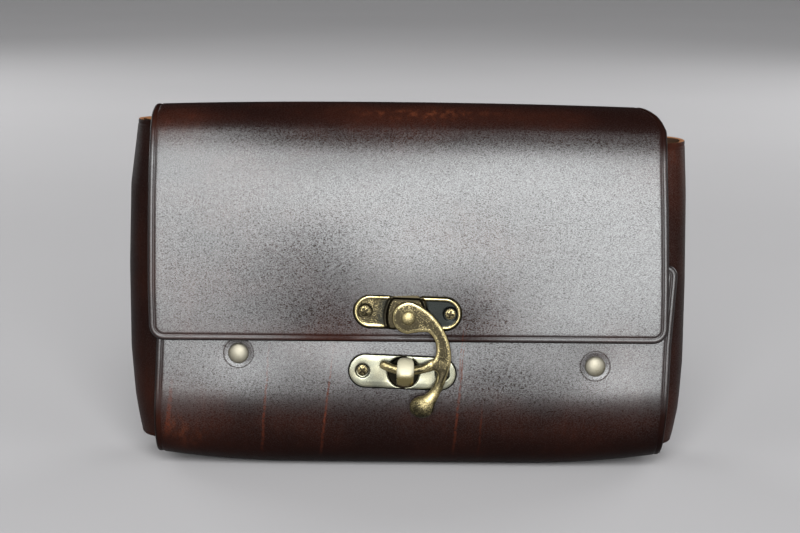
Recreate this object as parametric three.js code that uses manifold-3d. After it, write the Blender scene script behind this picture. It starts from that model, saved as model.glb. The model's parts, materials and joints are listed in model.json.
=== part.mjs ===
// Belt bag of thick leather: one strip wraps front, base, back and top and ends in the flap,
// two U-shaped gussets close the sides, rivets hold them, and a swing hook closes the flap.
// Millimetres. -Y is the front, +X runs to the right as the front is looked at, +Z is up.
// The origin lies on the ground, under the flat of the base.
import * as THREE from "three";
import { mergeVertices } from "three/addons/utils/BufferGeometryUtils.js";
import Module from "manifold-3d";

const wasm = await Module();
wasm.setup();

const { degToRad, clamp, lerp, smoothstep } = THREE.MathUtils;

// Leather
const LEATHER = 2.2;
const GUSSET_LEATHER = 2;
const LOOP_LEATHER = 2;
const GAP = 0.3;

// The strip's outer face seen from the side, from the front panel's top edge to the flap's lower edge.
// Heading 0 runs down, 90 to the back, 180 up, 270 to the front.
const BACK_Y = 26;
const PANEL_BEND_R = 40;
const FRONT_BEND_R = 16;
const BACK_BEND_R = 13;
const ARCH_R = 17.86;
const PANEL_BEND_TURN = 36;
const FRONT_BEND_TURN = 60;
const BACK_BEND_TURN = 90;
const ARCH_TURN = 151;
const CREST_SHARE = 90 / ARCH_TURN;
const PANEL_HEADING = -8;
const WRAP = [
  { name: "panel_upper", length: 46, turn: 2, steps: 3 },
  { name: "panel_lower", length: PANEL_BEND_R * degToRad(PANEL_BEND_TURN), turn: PANEL_BEND_TURN, steps: 5 },
  { name: "front_bend", length: FRONT_BEND_R * degToRad(FRONT_BEND_TURN), turn: FRONT_BEND_TURN, steps: 6 },
  { name: "base", length: 19.5, turn: 0, steps: 1 },
  { name: "back_bend", length: BACK_BEND_R * degToRad(BACK_BEND_TURN), turn: BACK_BEND_TURN, steps: 6 },
  { name: "back", length: 102.5, turn: 0, steps: 6 },
  { name: "arch", length: ARCH_R * degToRad(ARCH_TURN), turn: ARCH_TURN, steps: 16 },
  { name: "shoulder", length: 30, turn: 15, steps: 4 },
  { name: "flap", length: 47.3, turn: 9, steps: 5 },
];

// The strip's side edges, at a share of a stretch. The top's right end is cut back, the panel's flares.
const EDGES = [
  { stretch: "panel_upper", share: 0, left: -91, right: 98 },
  { stretch: "panel_upper", share: 0.23, left: -91.3, right: 97.2 },
  { stretch: "panel_upper", share: 0.65, left: -91.6, right: 95.7 },
  { stretch: "panel_lower", share: 0.7, left: -92.8, right: 94.6 },
  { stretch: "back", share: 0.4, left: -93.8, right: 92.5 },
  { stretch: "back", share: 1, left: -94.2, right: 87.5 },
  { stretch: "arch", share: 0.58, left: -94.3, right: 85.4 },
  { stretch: "arch", share: 0.72, left: -94.6, right: 87.2 },
  { stretch: "arch", share: 0.78, left: -94.8, right: 90.2 },
  { stretch: "arch", share: 0.85, left: -94.9, right: 92.7 },
  { stretch: "arch", share: 0.94, left: -94.9, right: 94 },
  { stretch: "shoulder", share: 0.5, left: -94.8, right: 93.8 },
  { stretch: "flap", share: 0.6, left: -94.4, right: 94.3 },
  { stretch: "flap", share: 1, left: -93.8, right: 94.2 },
];
const PANEL_CORNER_R = 4.5;
const FLAP_CORNER_R = 3.6;
const CORNER_SHARES = [0, 0.1, 0.4, 1];
const CORNER_CLEAR = 1.5;
const COLUMNS = [-1, -0.93, -0.83, -0.71, -0.57, -0.43, -0.22, 0, 0.22, 0.43, 0.57, 0.71, 0.83, 0.93, 1];

// How the filled leather settles: the base's ends lift off the ground, the top's ends sink.
const STRIP_HALF = 94;
const BASE_FLAT_HALF = 42;
const END_LIFT = 4;
const LIFT_HEIGHT = 40;
const TOP_SINK = 1.5;
const SINK_FROM = 90;

// Gussets: side walls that bulge past the strip's edges, with flanges inside the front and the back.
const GUSSET_EDGE = 93;
const FLANGE_REACH = 36;
const FLANGE_STUB = 1.5;
const FLANGE_TAPER = 5;
const FRONT_FLANGE_TOP = 74;
const BACK_FLANGE_TOP = 115;
const FRONT_PULL = 7;
const BACK_PULL = 2.2;
const SIDES = {
  left: { sign: -1, bottom: 7.7, top: 128.3, frontX: 89, backX: 89 },
  right: { sign: 1, bottom: 5.7, top: 121.8, frontX: 90, backX: 84 },
};
const GUSSET_BULGE = [
  { share: 0, left: 5.6, right: 5.2 },
  { share: 0.13, left: 8.2, right: 7.8 },
  { share: 0.3, left: 10.4, right: 9.5 },
  { share: 0.55, left: 11, right: 9.9 },
  { share: 0.8, left: 10.2, right: 9.6 },
  { share: 1, left: 6.9, right: 9 },
];
const GUSSET_SHARES = [1, 0.9, 0.8, 0.7, 0.6, 0.5, 0.4, 0.3, 0.2, 0.12, 0.07, 0.03, 0];
const GUSSET_TURNS = 9;

// Rivets: a domed cap outside, a shank, and a flat cap inside.
const RIVET = { capR: 3.75, capRise: 2.1, shankR: 1.5, footR: 3.4, foot: 0.9, rim: 0.5 };
const PRESSED_RING = { r: 5.4, depth: 0.5 };
const FRONT_RIVETS = [
  { side: "left", x: -61.7, down: 33.4 },
  { side: "right", x: 68.2, down: 37.2 },
];

// Belt loops: a tab, a ramp out, a span over the belt, a ramp back and a tab.
const LOOP_X = 62;
const LOOP_WIDTH = 30;
const LOOP_BOTTOM = 23;
const LOOP_CORNER_R = 4;
const LOOP = [
  { name: "low_tab", length: 13, turn: 0, steps: 1 },
  { name: "lift", length: 8, turn: -46, steps: 3 },
  { name: "level", length: 8, turn: 46, steps: 3 },
  { name: "span", length: 34, turn: 0, steps: 1 },
  { name: "dip", length: 8, turn: 46, steps: 3 },
  { name: "land", length: 8, turn: -46, steps: 3 },
  { name: "high_tab", length: 13, turn: 0, steps: 1 },
];
const LOOP_RIVETS = [
  { name: "low", stretch: "low_tab" },
  { name: "high", stretch: "high_tab" },
];

// Swing clasp. Its frame has X to the right, Y up along the flap and Z out of it, with the pivot at 0, 0.
const PIVOT_ABOVE_EDGE = 9.5;
const CLASP_LEAN = 4;
const PLATE = { length: 39.6, width: 12.6, thick: 1 };
const UPPER = { x: -0.3, y: 1.5, tilt: -1.7, screwX: 15.4 };
const LOWER = { x: -2, y: -20.6, tilt: -2, screwX: 14.5 };
const BRIDGE = { left: -7.4, right: 6.2, width: 12, rise: 0.7 };
const HOOK = { headR: 5.7, headTurn: 69, thick: 2.2, bevel: 0.5, prongOrbit: 19.4, prongR: 1.4, tailR: 1.7 };
const ARM = [
  { edge: "outer sweep", to: [15.5, -14.7], by: [[8.6, 2.7], [15.5, -5.5]] },
  { edge: "outer end", to: [13.9, -21.3], by: [[15.4, -18.3]] },
  { edge: "end", to: [10.2, -20.9], by: [] },
  { edge: "under the prong", to: [8.8, -17.9], by: [[10.3, -18.7]] },
  { edge: "prong's root", to: [9, -15], by: [] },
  { edge: "inner sweep", to: [7.2, -5.1], by: [[11, -12.7], [10.4, -7.2]] },
  { edge: "throat", to: [0, -5.7], by: [[4, -4.8]] },
];
const PRONG_DEGREES = [-117, -104, -91, -78, -66, -56];
const TAIL = [
  { x: 12.4, y: -18 },
  { x: 12.1, y: -21.4 },
  { x: 10.9, y: -24.8 },
  { x: 8.5, y: -28.2 },
  { x: 4.9, y: -32.3 },
];
const BALL = { x: 4.9, y: -32.3, r: 4.1, halfThick: 2.8 };
const PIVOT = { capR: 2.5, capRise: 1.3, shankR: 1.2 };
const SCREW = { headR: 2.25, head: 0.5, shankR: 1, slot: 0.5, slotLength: 2.8, slotDepth: 0.3 };
const SCREW_BORE = 6;
const EYE = { x: 0.4, r: 5.6, floor: 0.4 };
const KEEPER = { x: 1, y: 0.2, width: 6.3, half: 4.2, band: 1.5, clear: 0.5 };
const EYE_SIDES = 20;
const CUT_PAST = 1;
const LOOP_CUT_PAST = 8;
const PANEL_SPOTS = 60;

const finish = (color, roughness, metalness) =>
  new THREE.MeshStandardMaterial({ color, roughness, metalness });
const WRAP_FINISH = finish(0x3b2019, 0.4, 0);
const GUSSET_FINISH = finish(0x40221a, 0.45, 0);
const AGED_BRASS = finish(0x8a7b4c, 0.35, 1);
const PALE_BRASS = finish(0xc9bf98, 0.25, 1);

// Solids

function solidOf(geometry, matrix = new THREE.Matrix4()) {
  const bare = geometry.clone().applyMatrix4(matrix);
  bare.deleteAttribute("normal");
  bare.deleteAttribute("uv");
  const merged = mergeVertices(bare, 1e-4);
  const corners = merged.index.array;
  const triVerts = [];
  for (let i = 0; i < corners.length; i += 3) {
    const [a, b, c] = corners.slice(i, i + 3);
    if (a !== b && b !== c && c !== a) triVerts.push(a, b, c);
  }
  const closed = new wasm.Mesh({
    numProp: 3,
    vertProperties: new Float32Array(merged.attributes.position.array),
    triVerts: new Uint32Array(triVerts),
  });
  return new wasm.Manifold(closed);
}

function geometryOf(solid) {
  const { vertProperties, triVerts } = solid.getMesh();
  const geometry = new THREE.BufferGeometry();
  geometry.setAttribute("position", new THREE.BufferAttribute(new Float32Array(vertProperties), 3));
  geometry.setIndex(new THREE.BufferAttribute(new Uint32Array(triVerts), 1));
  geometry.computeVertexNormals();
  return geometry;
}

const joined = (first, ...rest) => rest.reduce((whole, piece) => whole.add(piece), first);
const cutBy = (first, ...rest) => rest.reduce((whole, piece) => whole.subtract(piece), first);

function named(name, solid, material) {
  const mesh = new THREE.Mesh(geometryOf(solid), material);
  mesh.name = name;
  return mesh;
}

// A closed sheet from two grids of points that face each other across its thickness.
function sheetSolid(outer, inner) {
  const rows = outer.length;
  const columns = outer[0].length;
  const points = [...outer.flat(), ...inner.flat()];
  const at = (side, i, j) => side * rows * columns + i * columns + j;
  const index = [];
  const quad = (a, b, c, d) => index.push(a, b, c, a, c, d);
  for (let i = 0; i < rows - 1; i++) {
    for (let j = 0; j < columns - 1; j++) {
      quad(at(0, i, j), at(0, i + 1, j), at(0, i + 1, j + 1), at(0, i, j + 1));
      quad(at(1, i, j), at(1, i, j + 1), at(1, i + 1, j + 1), at(1, i + 1, j));
    }
    quad(at(0, i, 0), at(1, i, 0), at(1, i + 1, 0), at(0, i + 1, 0));
    const last = columns - 1;
    quad(at(0, i, last), at(0, i + 1, last), at(1, i + 1, last), at(1, i, last));
  }
  for (let j = 0; j < columns - 1; j++) {
    quad(at(0, 0, j), at(0, 0, j + 1), at(1, 0, j + 1), at(1, 0, j));
    const last = rows - 1;
    quad(at(0, last, j), at(1, last, j), at(1, last, j + 1), at(0, last, j + 1));
  }
  const geometry = new THREE.BufferGeometry().setFromPoints(points).setIndex(index);
  return solidOf(geometry);
}

// Turned on the Z axis from rows of radius and height, from the low end to the high one.
function turnedSolid(profile, sides = 16) {
  const lathe = new THREE.LatheGeometry(profile.map(([r, h]) => new THREE.Vector2(r, h)), sides);
  return solidOf(lathe.rotateX(Math.PI / 2));
}

const dome = (r, low, rise, steps = 4) =>
  Array.from({ length: steps + 1 }, (_, i) => {
    const turn = (i / steps) * (Math.PI / 2);
    return [i === steps ? 0 : r * Math.cos(turn), low + rise * Math.sin(turn)];
  });

// A round hole's cutter along the Z axis of a frame, between two depths.
function bore(frame, r, low, high, sides = 12) {
  const cylinder = new THREE.CylinderGeometry(r, r, high - low, sides).rotateX(Math.PI / 2);
  return solidOf(cylinder.translate(0, 0, (low + high) / 2), frame);
}

// Side paths

function sidePath(stretches, start, heading) {
  let { y, z } = start;
  let turned = degToRad(heading);
  let along = 0;
  const pieces = stretches.map((stretch) => {
    const piece = { ...stretch, along, y, z, heading: turned, bend: degToRad(stretch.turn) / stretch.length };
    const end = pointOn(piece, stretch.length);
    [y, z, turned] = [end.y, end.z, end.heading];
    along += stretch.length;
    return piece;
  });
  return { pieces, length: along };
}

function pointOn(piece, run) {
  const { bend } = piece;
  const heading = piece.heading + bend * run;
  if (bend === 0) {
    return { y: piece.y + run * Math.sin(heading), z: piece.z - run * Math.cos(heading), heading };
  }
  return {
    y: piece.y + (Math.cos(piece.heading) - Math.cos(heading)) / bend,
    z: piece.z - (Math.sin(heading) - Math.sin(piece.heading)) / bend,
    heading,
  };
}

// The point at a distance along a path, moved out of its outer face by a depth.
function pathPoint(path, along, out = 0) {
  const piece = path.pieces.findLast((each) => each.along <= along) ?? path.pieces[0];
  const { y, z, heading } = pointOn(piece, along - piece.along);
  const normal = { y: -Math.cos(heading), z: -Math.sin(heading) };
  return { y: y + out * normal.y, z: z + out * normal.z, normal };
}

const markOn = (path, name, share) => {
  const piece = path.pieces.find((each) => each.name === name);
  return piece.along + share * piece.length;
};

// Distances along a path at the ends of every step, with closer ones at the rounded corners of both ends.
function stations(path, startR, endR) {
  const marks = path.pieces.flatMap(({ along, length, steps }) =>
    Array.from({ length: steps }, (_, i) => along + (length * i) / steps),
  );
  const middle = marks.filter((s) => s > startR * CORNER_CLEAR && s < path.length - endR * CORNER_CLEAR);
  const first = CORNER_SHARES.map((share) => share * startR);
  const last = CORNER_SHARES.map((share) => path.length - share * endR).reverse();
  return [...first, ...middle, ...last];
}

const cornerInset = (distance, r) => (distance < r ? r - Math.sqrt(r * r - (r - distance) ** 2) : 0);

function valueAt(rows, key, column, at) {
  const next = Math.max(1, rows.findIndex((row) => row[key] >= at));
  const [a, b] = [rows[next - 1], rows[next]];
  return lerp(a[column], b[column], clamp((at - a[key]) / (b[key] - a[key]), 0, 1));
}

// The wrap

const wrapFromZero = sidePath(WRAP, { y: 0, z: 0 }, PANEL_HEADING);
const zeroBase = pathPoint(wrapFromZero, markOn(wrapFromZero, "base", 0));
const zeroBack = pathPoint(wrapFromZero, markOn(wrapFromZero, "back", 0));
const wrapPath = sidePath(WRAP, { y: BACK_Y - zeroBack.y, z: -zeroBase.z }, PANEL_HEADING);
const wrapTop = pathPoint(wrapPath, markOn(wrapPath, "arch", CREST_SHARE)).z;
const edgeRows = EDGES.map((row) => ({ ...row, along: markOn(wrapPath, row.stretch, row.share) }));

function settled(point) {
  const aside = clamp(Math.abs(point.x) / STRIP_HALF, 0, 1);
  const pastFlat = clamp((Math.abs(point.x) - BASE_FLAT_HALF) / (STRIP_HALF - BASE_FLAT_HALF), 0, 1);
  const low = clamp(1 - point.z / LIFT_HEIGHT, 0, 1);
  const high = clamp((point.z - SINK_FROM) / (wrapTop - SINK_FROM), 0, 1);
  point.z += END_LIFT * pastFlat ** 2 * low - TOP_SINK * aside ** 2 * high;
  return point;
}

function wrapSolid() {
  const grid = (out) =>
    stations(wrapPath, PANEL_CORNER_R, FLAP_CORNER_R).map((s) => {
      const inset = cornerInset(s, PANEL_CORNER_R) + cornerInset(wrapPath.length - s, FLAP_CORNER_R);
      const left = valueAt(edgeRows, "along", "left", s) + inset;
      const right = valueAt(edgeRows, "along", "right", s) - inset;
      const { y, z } = pathPoint(wrapPath, s, out);
      return COLUMNS.map((share) => settled(new THREE.Vector3(lerp(left, right, (share + 1) / 2), y, z)));
    });
  return sheetSolid(grid(0), grid(-LEATHER));
}

// A frame on the wrap's outer face, with its Z axis along the face's normal.
function wrapFrame(s, x) {
  const { y, z, normal } = pathPoint(wrapPath, s);
  const out = new THREE.Vector3(0, normal.y, normal.z);
  const across = new THREE.Vector3(1, 0, 0);
  const up = new THREE.Vector3().crossVectors(out, across);
  return new THREE.Matrix4().makeBasis(across, up, out).setPosition(x, y, z);
}

// The gussets

const innerFace = Array.from({ length: Math.ceil(wrapPath.length) }, (_, s) => ({
  s,
  ...pathPoint(wrapPath, s, -LEATHER - GAP),
}));

// The depth at a height where a stretch of the wrap's inner face passes.
function faceDepth(height, from, to) {
  const run = innerFace.filter(({ s }) => s >= from && s <= to).sort((a, b) => a.z - b.z);
  return valueAt(run, "z", "y", clamp(height, run[0].z, run.at(-1).z));
}

function gussetFront(height) {
  const panel = faceDepth(height, 0, markOn(wrapPath, "base", 0));
  const abovePanel = Math.max(0, height - innerFace[0].z);
  const leaning = panel - abovePanel * Math.tan(degToRad(PANEL_HEADING));
  const underTop = faceDepth(height, markOn(wrapPath, "arch", CREST_SHARE), wrapPath.length);
  return Math.max(leaning, underTop);
}

const gussetBack = (height) =>
  faceDepth(height, markOn(wrapPath, "base", 1), markOn(wrapPath, "arch", CREST_SHARE));

const flangeReach = (height, top) =>
  lerp(FLANGE_REACH, FLANGE_STUB, smoothstep(height, top - FLANGE_TAPER, top));

// One height of a gusset seen from above: front flange, bulging wall, back flange.
function gussetRow(side, share) {
  const { sign, bottom, top, frontX, backX } = SIDES[side];
  const height = lerp(bottom, top, share);
  const [front, back] = [gussetFront(height), gussetBack(height)];
  const out = GUSSET_EDGE + valueAt(GUSSET_BULGE, "share", side, share);
  const wall = new THREE.CubicBezierCurve(
    new THREE.Vector2(frontX, front),
    new THREE.Vector2(out + FRONT_PULL, front),
    new THREE.Vector2(out + BACK_PULL, back),
    new THREE.Vector2(backX, back),
  );
  const frontEnd = frontX - flangeReach(height, FRONT_FLANGE_TOP);
  const backEnd = backX - flangeReach(height, BACK_FLANGE_TOP);
  const plan = [
    new THREE.Vector2(frontEnd, front),
    new THREE.Vector2((frontEnd + frontX) / 2, front),
    ...wall.getPoints(GUSSET_TURNS),
    new THREE.Vector2((backEnd + backX) / 2, back),
    new THREE.Vector2(backEnd, back),
  ];
  const row = plan.map(({ x, y }) => settled(new THREE.Vector3(sign * x, y, height)));
  return sign > 0 ? row : row.reverse();
}

function gussetSolid(side) {
  const outer = GUSSET_SHARES.map((share) => gussetRow(side, share));
  const step = (i, j, di, dj) => {
    const ahead = outer[clamp(i + di, 0, outer.length - 1)][clamp(j + dj, 0, outer[0].length - 1)];
    const behind = outer[clamp(i - di, 0, outer.length - 1)][clamp(j - dj, 0, outer[0].length - 1)];
    return new THREE.Vector3().subVectors(ahead, behind);
  };
  const inner = outer.map((row, i) =>
    row.map((point, j) => {
      const normal = step(i, j, 1, 0).cross(step(i, j, 0, 1)).normalize();
      return point.clone().addScaledVector(normal, -GUSSET_LEATHER);
    }),
  );
  return sheetSolid(outer, inner);
}

// The belt loops

const loopPath = sidePath(LOOP, { y: BACK_Y + GAP + LOOP_LEATHER, z: LOOP_BOTTOM }, 180);

function loopSolid(middle) {
  const grid = (out) =>
    stations(loopPath, LOOP_CORNER_R, LOOP_CORNER_R).map((s) => {
      const half = LOOP_WIDTH / 2 - cornerInset(Math.min(s, loopPath.length - s), LOOP_CORNER_R);
      const { y, z } = pathPoint(loopPath, s, out);
      return [-1, 0, 1].map((share) => new THREE.Vector3(middle + share * half, y, z));
    });
  return sheetSolid(grid(0), grid(-LOOP_LEATHER));
}

// The rivets

function rivetSolid(seat, foot) {
  const { capR, capRise, shankR, footR, rim } = RIVET;
  return turnedSolid([
    [0, foot - RIVET.foot],
    [footR, foot - RIVET.foot],
    [footR, foot],
    [shankR, foot],
    [shankR, seat],
    [capR, seat],
    ...dome(capR, seat + rim, capRise - rim),
  ]);
}

// The swing clasp

function pillShape(length, width) {
  const r = width / 2;
  const half = length / 2 - r;
  const shape = new THREE.Shape();
  shape.absarc(half, 0, r, -Math.PI / 2, Math.PI / 2);
  shape.absarc(-half, 0, r, Math.PI / 2, (Math.PI * 3) / 2);
  shape.closePath();
  return shape;
}

const extruded = (shape, depth, curveSegments = 6, bevel = {}) =>
  solidOf(new THREE.ExtrudeGeometry(shape, { depth, curveSegments, bevelEnabled: false, ...bevel }));

// The upper plate's middle is raised to carry the hook clear of the screws.
function upperPlateSolid() {
  const plate = extruded(pillShape(PLATE.length, PLATE.width), PLATE.thick);
  const { left, right, width, rise } = BRIDGE;
  const top = PLATE.thick + rise;
  const bridge = new THREE.BoxGeometry(right - left, width, top);
  const raised = joined(plate, solidOf(bridge.translate((left + right) / 2, 0, top / 2)));
  const pivotHole = new THREE.Matrix4().makeTranslation(-UPPER.x, -UPPER.y, 0);
  const pivotBore = bore(pivotHole, PIVOT.shankR + GAP, -CUT_PAST, top + CUT_PAST);
  return cutBy(raised, pivotBore, ...screwHoles(UPPER.screwX));
}

const screwHoles = (x) =>
  [-x, x].map((at) => {
    const place = new THREE.Matrix4().makeTranslation(at, 0, 0);
    return bore(place, SCREW.shankR + GAP, -CUT_PAST, PLATE.thick + CUT_PAST);
  });

// The lower plate has a sunk round eye, and on its floor the keeper: a band bent into an arch for the prong.
function lowerPlateSolid(archTop) {
  const { x, y, width, half, band } = KEEPER;
  const eyePlace = new THREE.Matrix4().makeTranslation(EYE.x, 0, 0);
  const plate = cutBy(
    extruded(pillShape(PLATE.length, PLATE.width), PLATE.thick),
    bore(eyePlace, EYE.r, EYE.floor, PLATE.thick + CUT_PAST, EYE_SIDES),
    ...screwHoles(LOWER.screwX),
  );
  const arch = new THREE.Shape();
  arch.moveTo(-half - band / 2, 0);
  arch.lineTo(-half - band / 2, archTop - half);
  arch.absarc(0, archTop - half, half + band / 2, Math.PI, 0, true);
  arch.lineTo(half + band / 2, 0);
  arch.lineTo(half - band / 2, 0);
  arch.lineTo(half - band / 2, archTop - half);
  arch.absarc(0, archTop - half, half - band / 2, 0, Math.PI);
  arch.lineTo(-half + band / 2, 0);
  const keeperPlace = new THREE.Matrix4()
    .makeBasis(new THREE.Vector3(0, 1, 0), new THREE.Vector3(0, 0, 1), new THREE.Vector3(1, 0, 0))
    .setPosition(x - width / 2, y, 0);
  const keeper = new THREE.ExtrudeGeometry(arch, { depth: width, curveSegments: 6, bevelEnabled: false });
  return joined(plate, solidOf(keeper, keeperPlace));
}

// The hook: a flat head and arm, a round prong on an arc about the pivot, and a tail that ends in a ball.
function hookSolid() {
  const { headR, headTurn, thick, bevel, prongOrbit, prongR, tailR } = HOOK;
  const arm = new THREE.Shape();
  arm.absarc(0, 0, headR, -Math.PI / 2, degToRad(headTurn), true);
  for (const { to, by } of ARM) {
    if (by.length === 2) arm.bezierCurveTo(...by[0], ...by[1], ...to);
    else if (by.length === 1) arm.quadraticCurveTo(...by[0], ...to);
    else arm.lineTo(...to);
  }
  const flat = extruded(arm, thick - 2 * bevel, 6, {
    bevelEnabled: true,
    bevelSize: bevel,
    bevelThickness: bevel,
    bevelOffset: -bevel,
    bevelSegments: 1,
  }).translate([0, 0, bevel]);
  const middle = thick / 2;
  const onOrbit = (degrees) =>
    new THREE.Vector3(Math.cos(degToRad(degrees)), Math.sin(degToRad(degrees)), 0)
      .multiplyScalar(prongOrbit)
      .setZ(middle);
  const prong = PRONG_DEGREES.map(onOrbit);
  const tail = TAIL.map(({ x, y }) => new THREE.Vector3(x, y, middle));
  const ball = new THREE.SphereGeometry(BALL.r, 14, 10).scale(1, 1, BALL.halfThick / BALL.r);
  const tip = new THREE.SphereGeometry(prongR, 10, 8).translate(prong[0].x, prong[0].y, middle);
  const whole = joined(
    flat,
    roundBar(prong, prongR),
    solidOf(tip),
    roundBar(tail, tailR),
    solidOf(ball.translate(BALL.x, BALL.y, middle)),
  );
  return cutBy(whole, bore(new THREE.Matrix4(), PIVOT.shankR + GAP, -CUT_PAST, thick + CUT_PAST));
}

function roundBar(points, r) {
  const section = new THREE.Shape().absarc(0, 0, r, 0, Math.PI * 2);
  const extrudePath = new THREE.CatmullRomCurve3(points);
  const steps = 2 * points.length;
  return solidOf(new THREE.ExtrudeGeometry(section, { steps, curveSegments: 5, extrudePath }));
}

function pivotSolid(seat) {
  const { capR, capRise, shankR } = PIVOT;
  return turnedSolid([[0, 0], [shankR, 0], [shankR, seat], ...dome(capR, seat, capRise)]);
}

// A screw with a low domed head and a cross cut in it.
function screwSolid(length) {
  const { headR, head, shankR, slot, slotLength, slotDepth } = SCREW;
  const turned = turnedSolid([[0, -length], [shankR, -length], [shankR, 0], ...dome(headR, 0, head, 3)], 14);
  const bar = (x, y) => solidOf(new THREE.BoxGeometry(x, y, 2 * slotDepth).translate(0, 0, head));
  return cutBy(turned, bar(slotLength, slot), bar(slot, slotLength));
}

// Assembly

const bag = new THREE.Group();
const wrapCuts = [];
const gussetCuts = { left: [], right: [] };
const loopCuts = { left: [], right: [] };
const rivetHoleR = RIVET.shankR + GAP;
const throughFlange = -LEATHER - 2 * GAP - GUSSET_LEATHER;
const backLow = markOn(wrapPath, "back", 0);

function addRivet(name, frame, seat, foot) {
  const mesh = named(name, rivetSolid(seat, foot), PALE_BRASS);
  mesh.applyMatrix4(frame);
  bag.add(mesh);
}

for (const { side, x, down } of FRONT_RIVETS) {
  const frame = wrapFrame(down, x);
  const hole = bore(frame, rivetHoleR, 2 * throughFlange, CUT_PAST);
  wrapCuts.push(hole, bore(frame, PRESSED_RING.r, -PRESSED_RING.depth, CUT_PAST));
  gussetCuts[side].push(hole);
  addRivet("rivet_front_" + side, frame, GAP - PRESSED_RING.depth, throughFlange - GAP);
}

for (const [side, { sign }] of Object.entries(SIDES)) {
  for (const { name, stretch } of LOOP_RIVETS) {
    const height = pathPoint(loopPath, markOn(loopPath, stretch, 0.5)).z;
    const frame = wrapFrame(backLow + height - pathPoint(wrapPath, backLow).z, sign * LOOP_X);
    const hole = bore(frame, rivetHoleR, 2 * throughFlange, LOOP_CUT_PAST);
    wrapCuts.push(hole);
    gussetCuts[side].push(hole);
    loopCuts[side].push(hole);
    addRivet(`rivet_back_${side}_${name}`, frame, LOOP_LEATHER + 2 * GAP, throughFlange - GAP);
  }
  bag.add(named("belt_loop_" + side, cutBy(loopSolid(sign * LOOP_X), ...loopCuts[side]), WRAP_FINISH));
  bag.add(named("gusset_" + side, cutBy(gussetSolid(side), ...gussetCuts[side]), GUSSET_FINISH));
}

const pivotSpot = pathPoint(wrapPath, wrapPath.length - PIVOT_ABOVE_EDGE);
const clasp = new THREE.Group();
clasp.position.set(0, pivotSpot.y, pivotSpot.z);
clasp.rotation.x = degToRad(90 - CLASP_LEAN);
clasp.updateMatrix();
bag.add(clasp);

// The panel's depth under the clasp's plane, below the pivot by a drop.
function panelDepth(drop) {
  const back = clasp.matrix.clone().invert();
  const spots = Array.from({ length: PANEL_SPOTS }, (_, s) => {
    const { y, z } = pathPoint(wrapPath, s);
    return new THREE.Vector3(0, y, z).applyMatrix4(back);
  });
  return spots.reduce((best, spot) => (Math.abs(spot.y - drop) < Math.abs(best.y - drop) ? spot : best)).z;
}

const upperSeat = 2 * GAP;
const lowerSeat = panelDepth(LOWER.y) + 2 * GAP;
const hookLow = upperSeat + PLATE.thick + BRIDGE.rise + GAP;
const keeperTop = hookLow + HOOK.thick / 2 + HOOK.prongR + KEEPER.clear + KEEPER.band / 2 - lowerSeat;

function addToClasp(mesh, x, y, z, tilt = 0) {
  mesh.position.set(x, y, z);
  mesh.rotation.z = degToRad(tilt);
  clasp.add(mesh);
}

function addPlate(name, solid, { x, y, tilt, screwX }, seat, screwNames) {
  addToClasp(named("clasp_plate_" + name, solid, AGED_BRASS), x, y, seat, tilt);
  screwNames.forEach((screwName, i) => {
    const across = (i === 0 ? -1 : 1) * screwX;
    const length = PLATE.thick + GAP + LEATHER;
    const screw = named(screwName, screwSolid(length), AGED_BRASS);
    const turn = degToRad(tilt);
    const headSeat = seat + PLATE.thick + GAP;
    addToClasp(screw, x + across * Math.cos(turn), y + across * Math.sin(turn), headSeat, tilt);
    screw.updateMatrix();
    const screwFrame = clasp.matrix.clone().multiply(screw.matrix);
    wrapCuts.push(bore(screwFrame, SCREW.shankR + GAP, -SCREW_BORE, -PLATE.thick));
  });
}

addPlate("upper", upperPlateSolid(), UPPER, upperSeat, ["screw_upper_left", "screw_upper_right"]);
addPlate("lower", lowerPlateSolid(keeperTop), LOWER, lowerSeat, ["screw_lower_left", "screw_lower_right"]);
addToClasp(named("clasp_hook", hookSolid(), AGED_BRASS), 0, 0, hookLow);
const pivotSeat = hookLow + HOOK.thick + GAP - upperSeat;
addToClasp(named("clasp_pivot", pivotSolid(pivotSeat), AGED_BRASS), 0, 0, upperSeat);

bag.add(named("body_wrap", cutBy(wrapSolid(), ...wrapCuts), WRAP_FINISH));

export default bag;
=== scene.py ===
# A belt bag of thick glossy leather with a swing clasp, dressed piece by piece in the order it is made:
# the wrap, the gussets, the belt loops, the rivets, the clasp's plates, screws, pivot and hook, the stage.
# Sizes are millimetres in the bag's own frame (-Y front, +Z up) and become metres in each mesh.
import json
import math
from collections import namedtuple

import bmesh
import bpy
import numpy as np
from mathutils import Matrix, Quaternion, Vector
from mathutils.kdtree import KDTree


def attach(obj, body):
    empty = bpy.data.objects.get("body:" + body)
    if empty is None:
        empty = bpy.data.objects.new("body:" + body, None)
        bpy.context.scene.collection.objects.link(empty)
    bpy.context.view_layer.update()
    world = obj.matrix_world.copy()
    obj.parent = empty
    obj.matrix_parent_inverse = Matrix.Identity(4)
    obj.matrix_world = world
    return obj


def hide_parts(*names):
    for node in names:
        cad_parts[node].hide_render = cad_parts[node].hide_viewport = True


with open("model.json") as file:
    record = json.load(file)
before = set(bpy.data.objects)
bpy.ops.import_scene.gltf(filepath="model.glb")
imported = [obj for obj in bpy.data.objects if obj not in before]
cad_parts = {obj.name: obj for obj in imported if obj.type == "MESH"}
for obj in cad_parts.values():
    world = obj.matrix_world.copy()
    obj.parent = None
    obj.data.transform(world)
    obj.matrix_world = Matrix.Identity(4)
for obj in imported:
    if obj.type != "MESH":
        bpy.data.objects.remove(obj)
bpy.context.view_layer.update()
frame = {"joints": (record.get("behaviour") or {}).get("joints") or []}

# The wrap
# One strip of bridle leather runs down the front, under the base, up the back and over into the flap.
# It is cut flat, its edges are rubbed round and a crease is run beside them, and it is bent to shape damp.
MM = 0.001
LEATHER = 2.2
GAP = 0.3
BACK_Y = 26
PANEL_HEADING = -8
PANEL_BEND_R = 40
FRONT_BEND_R = 16
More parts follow.
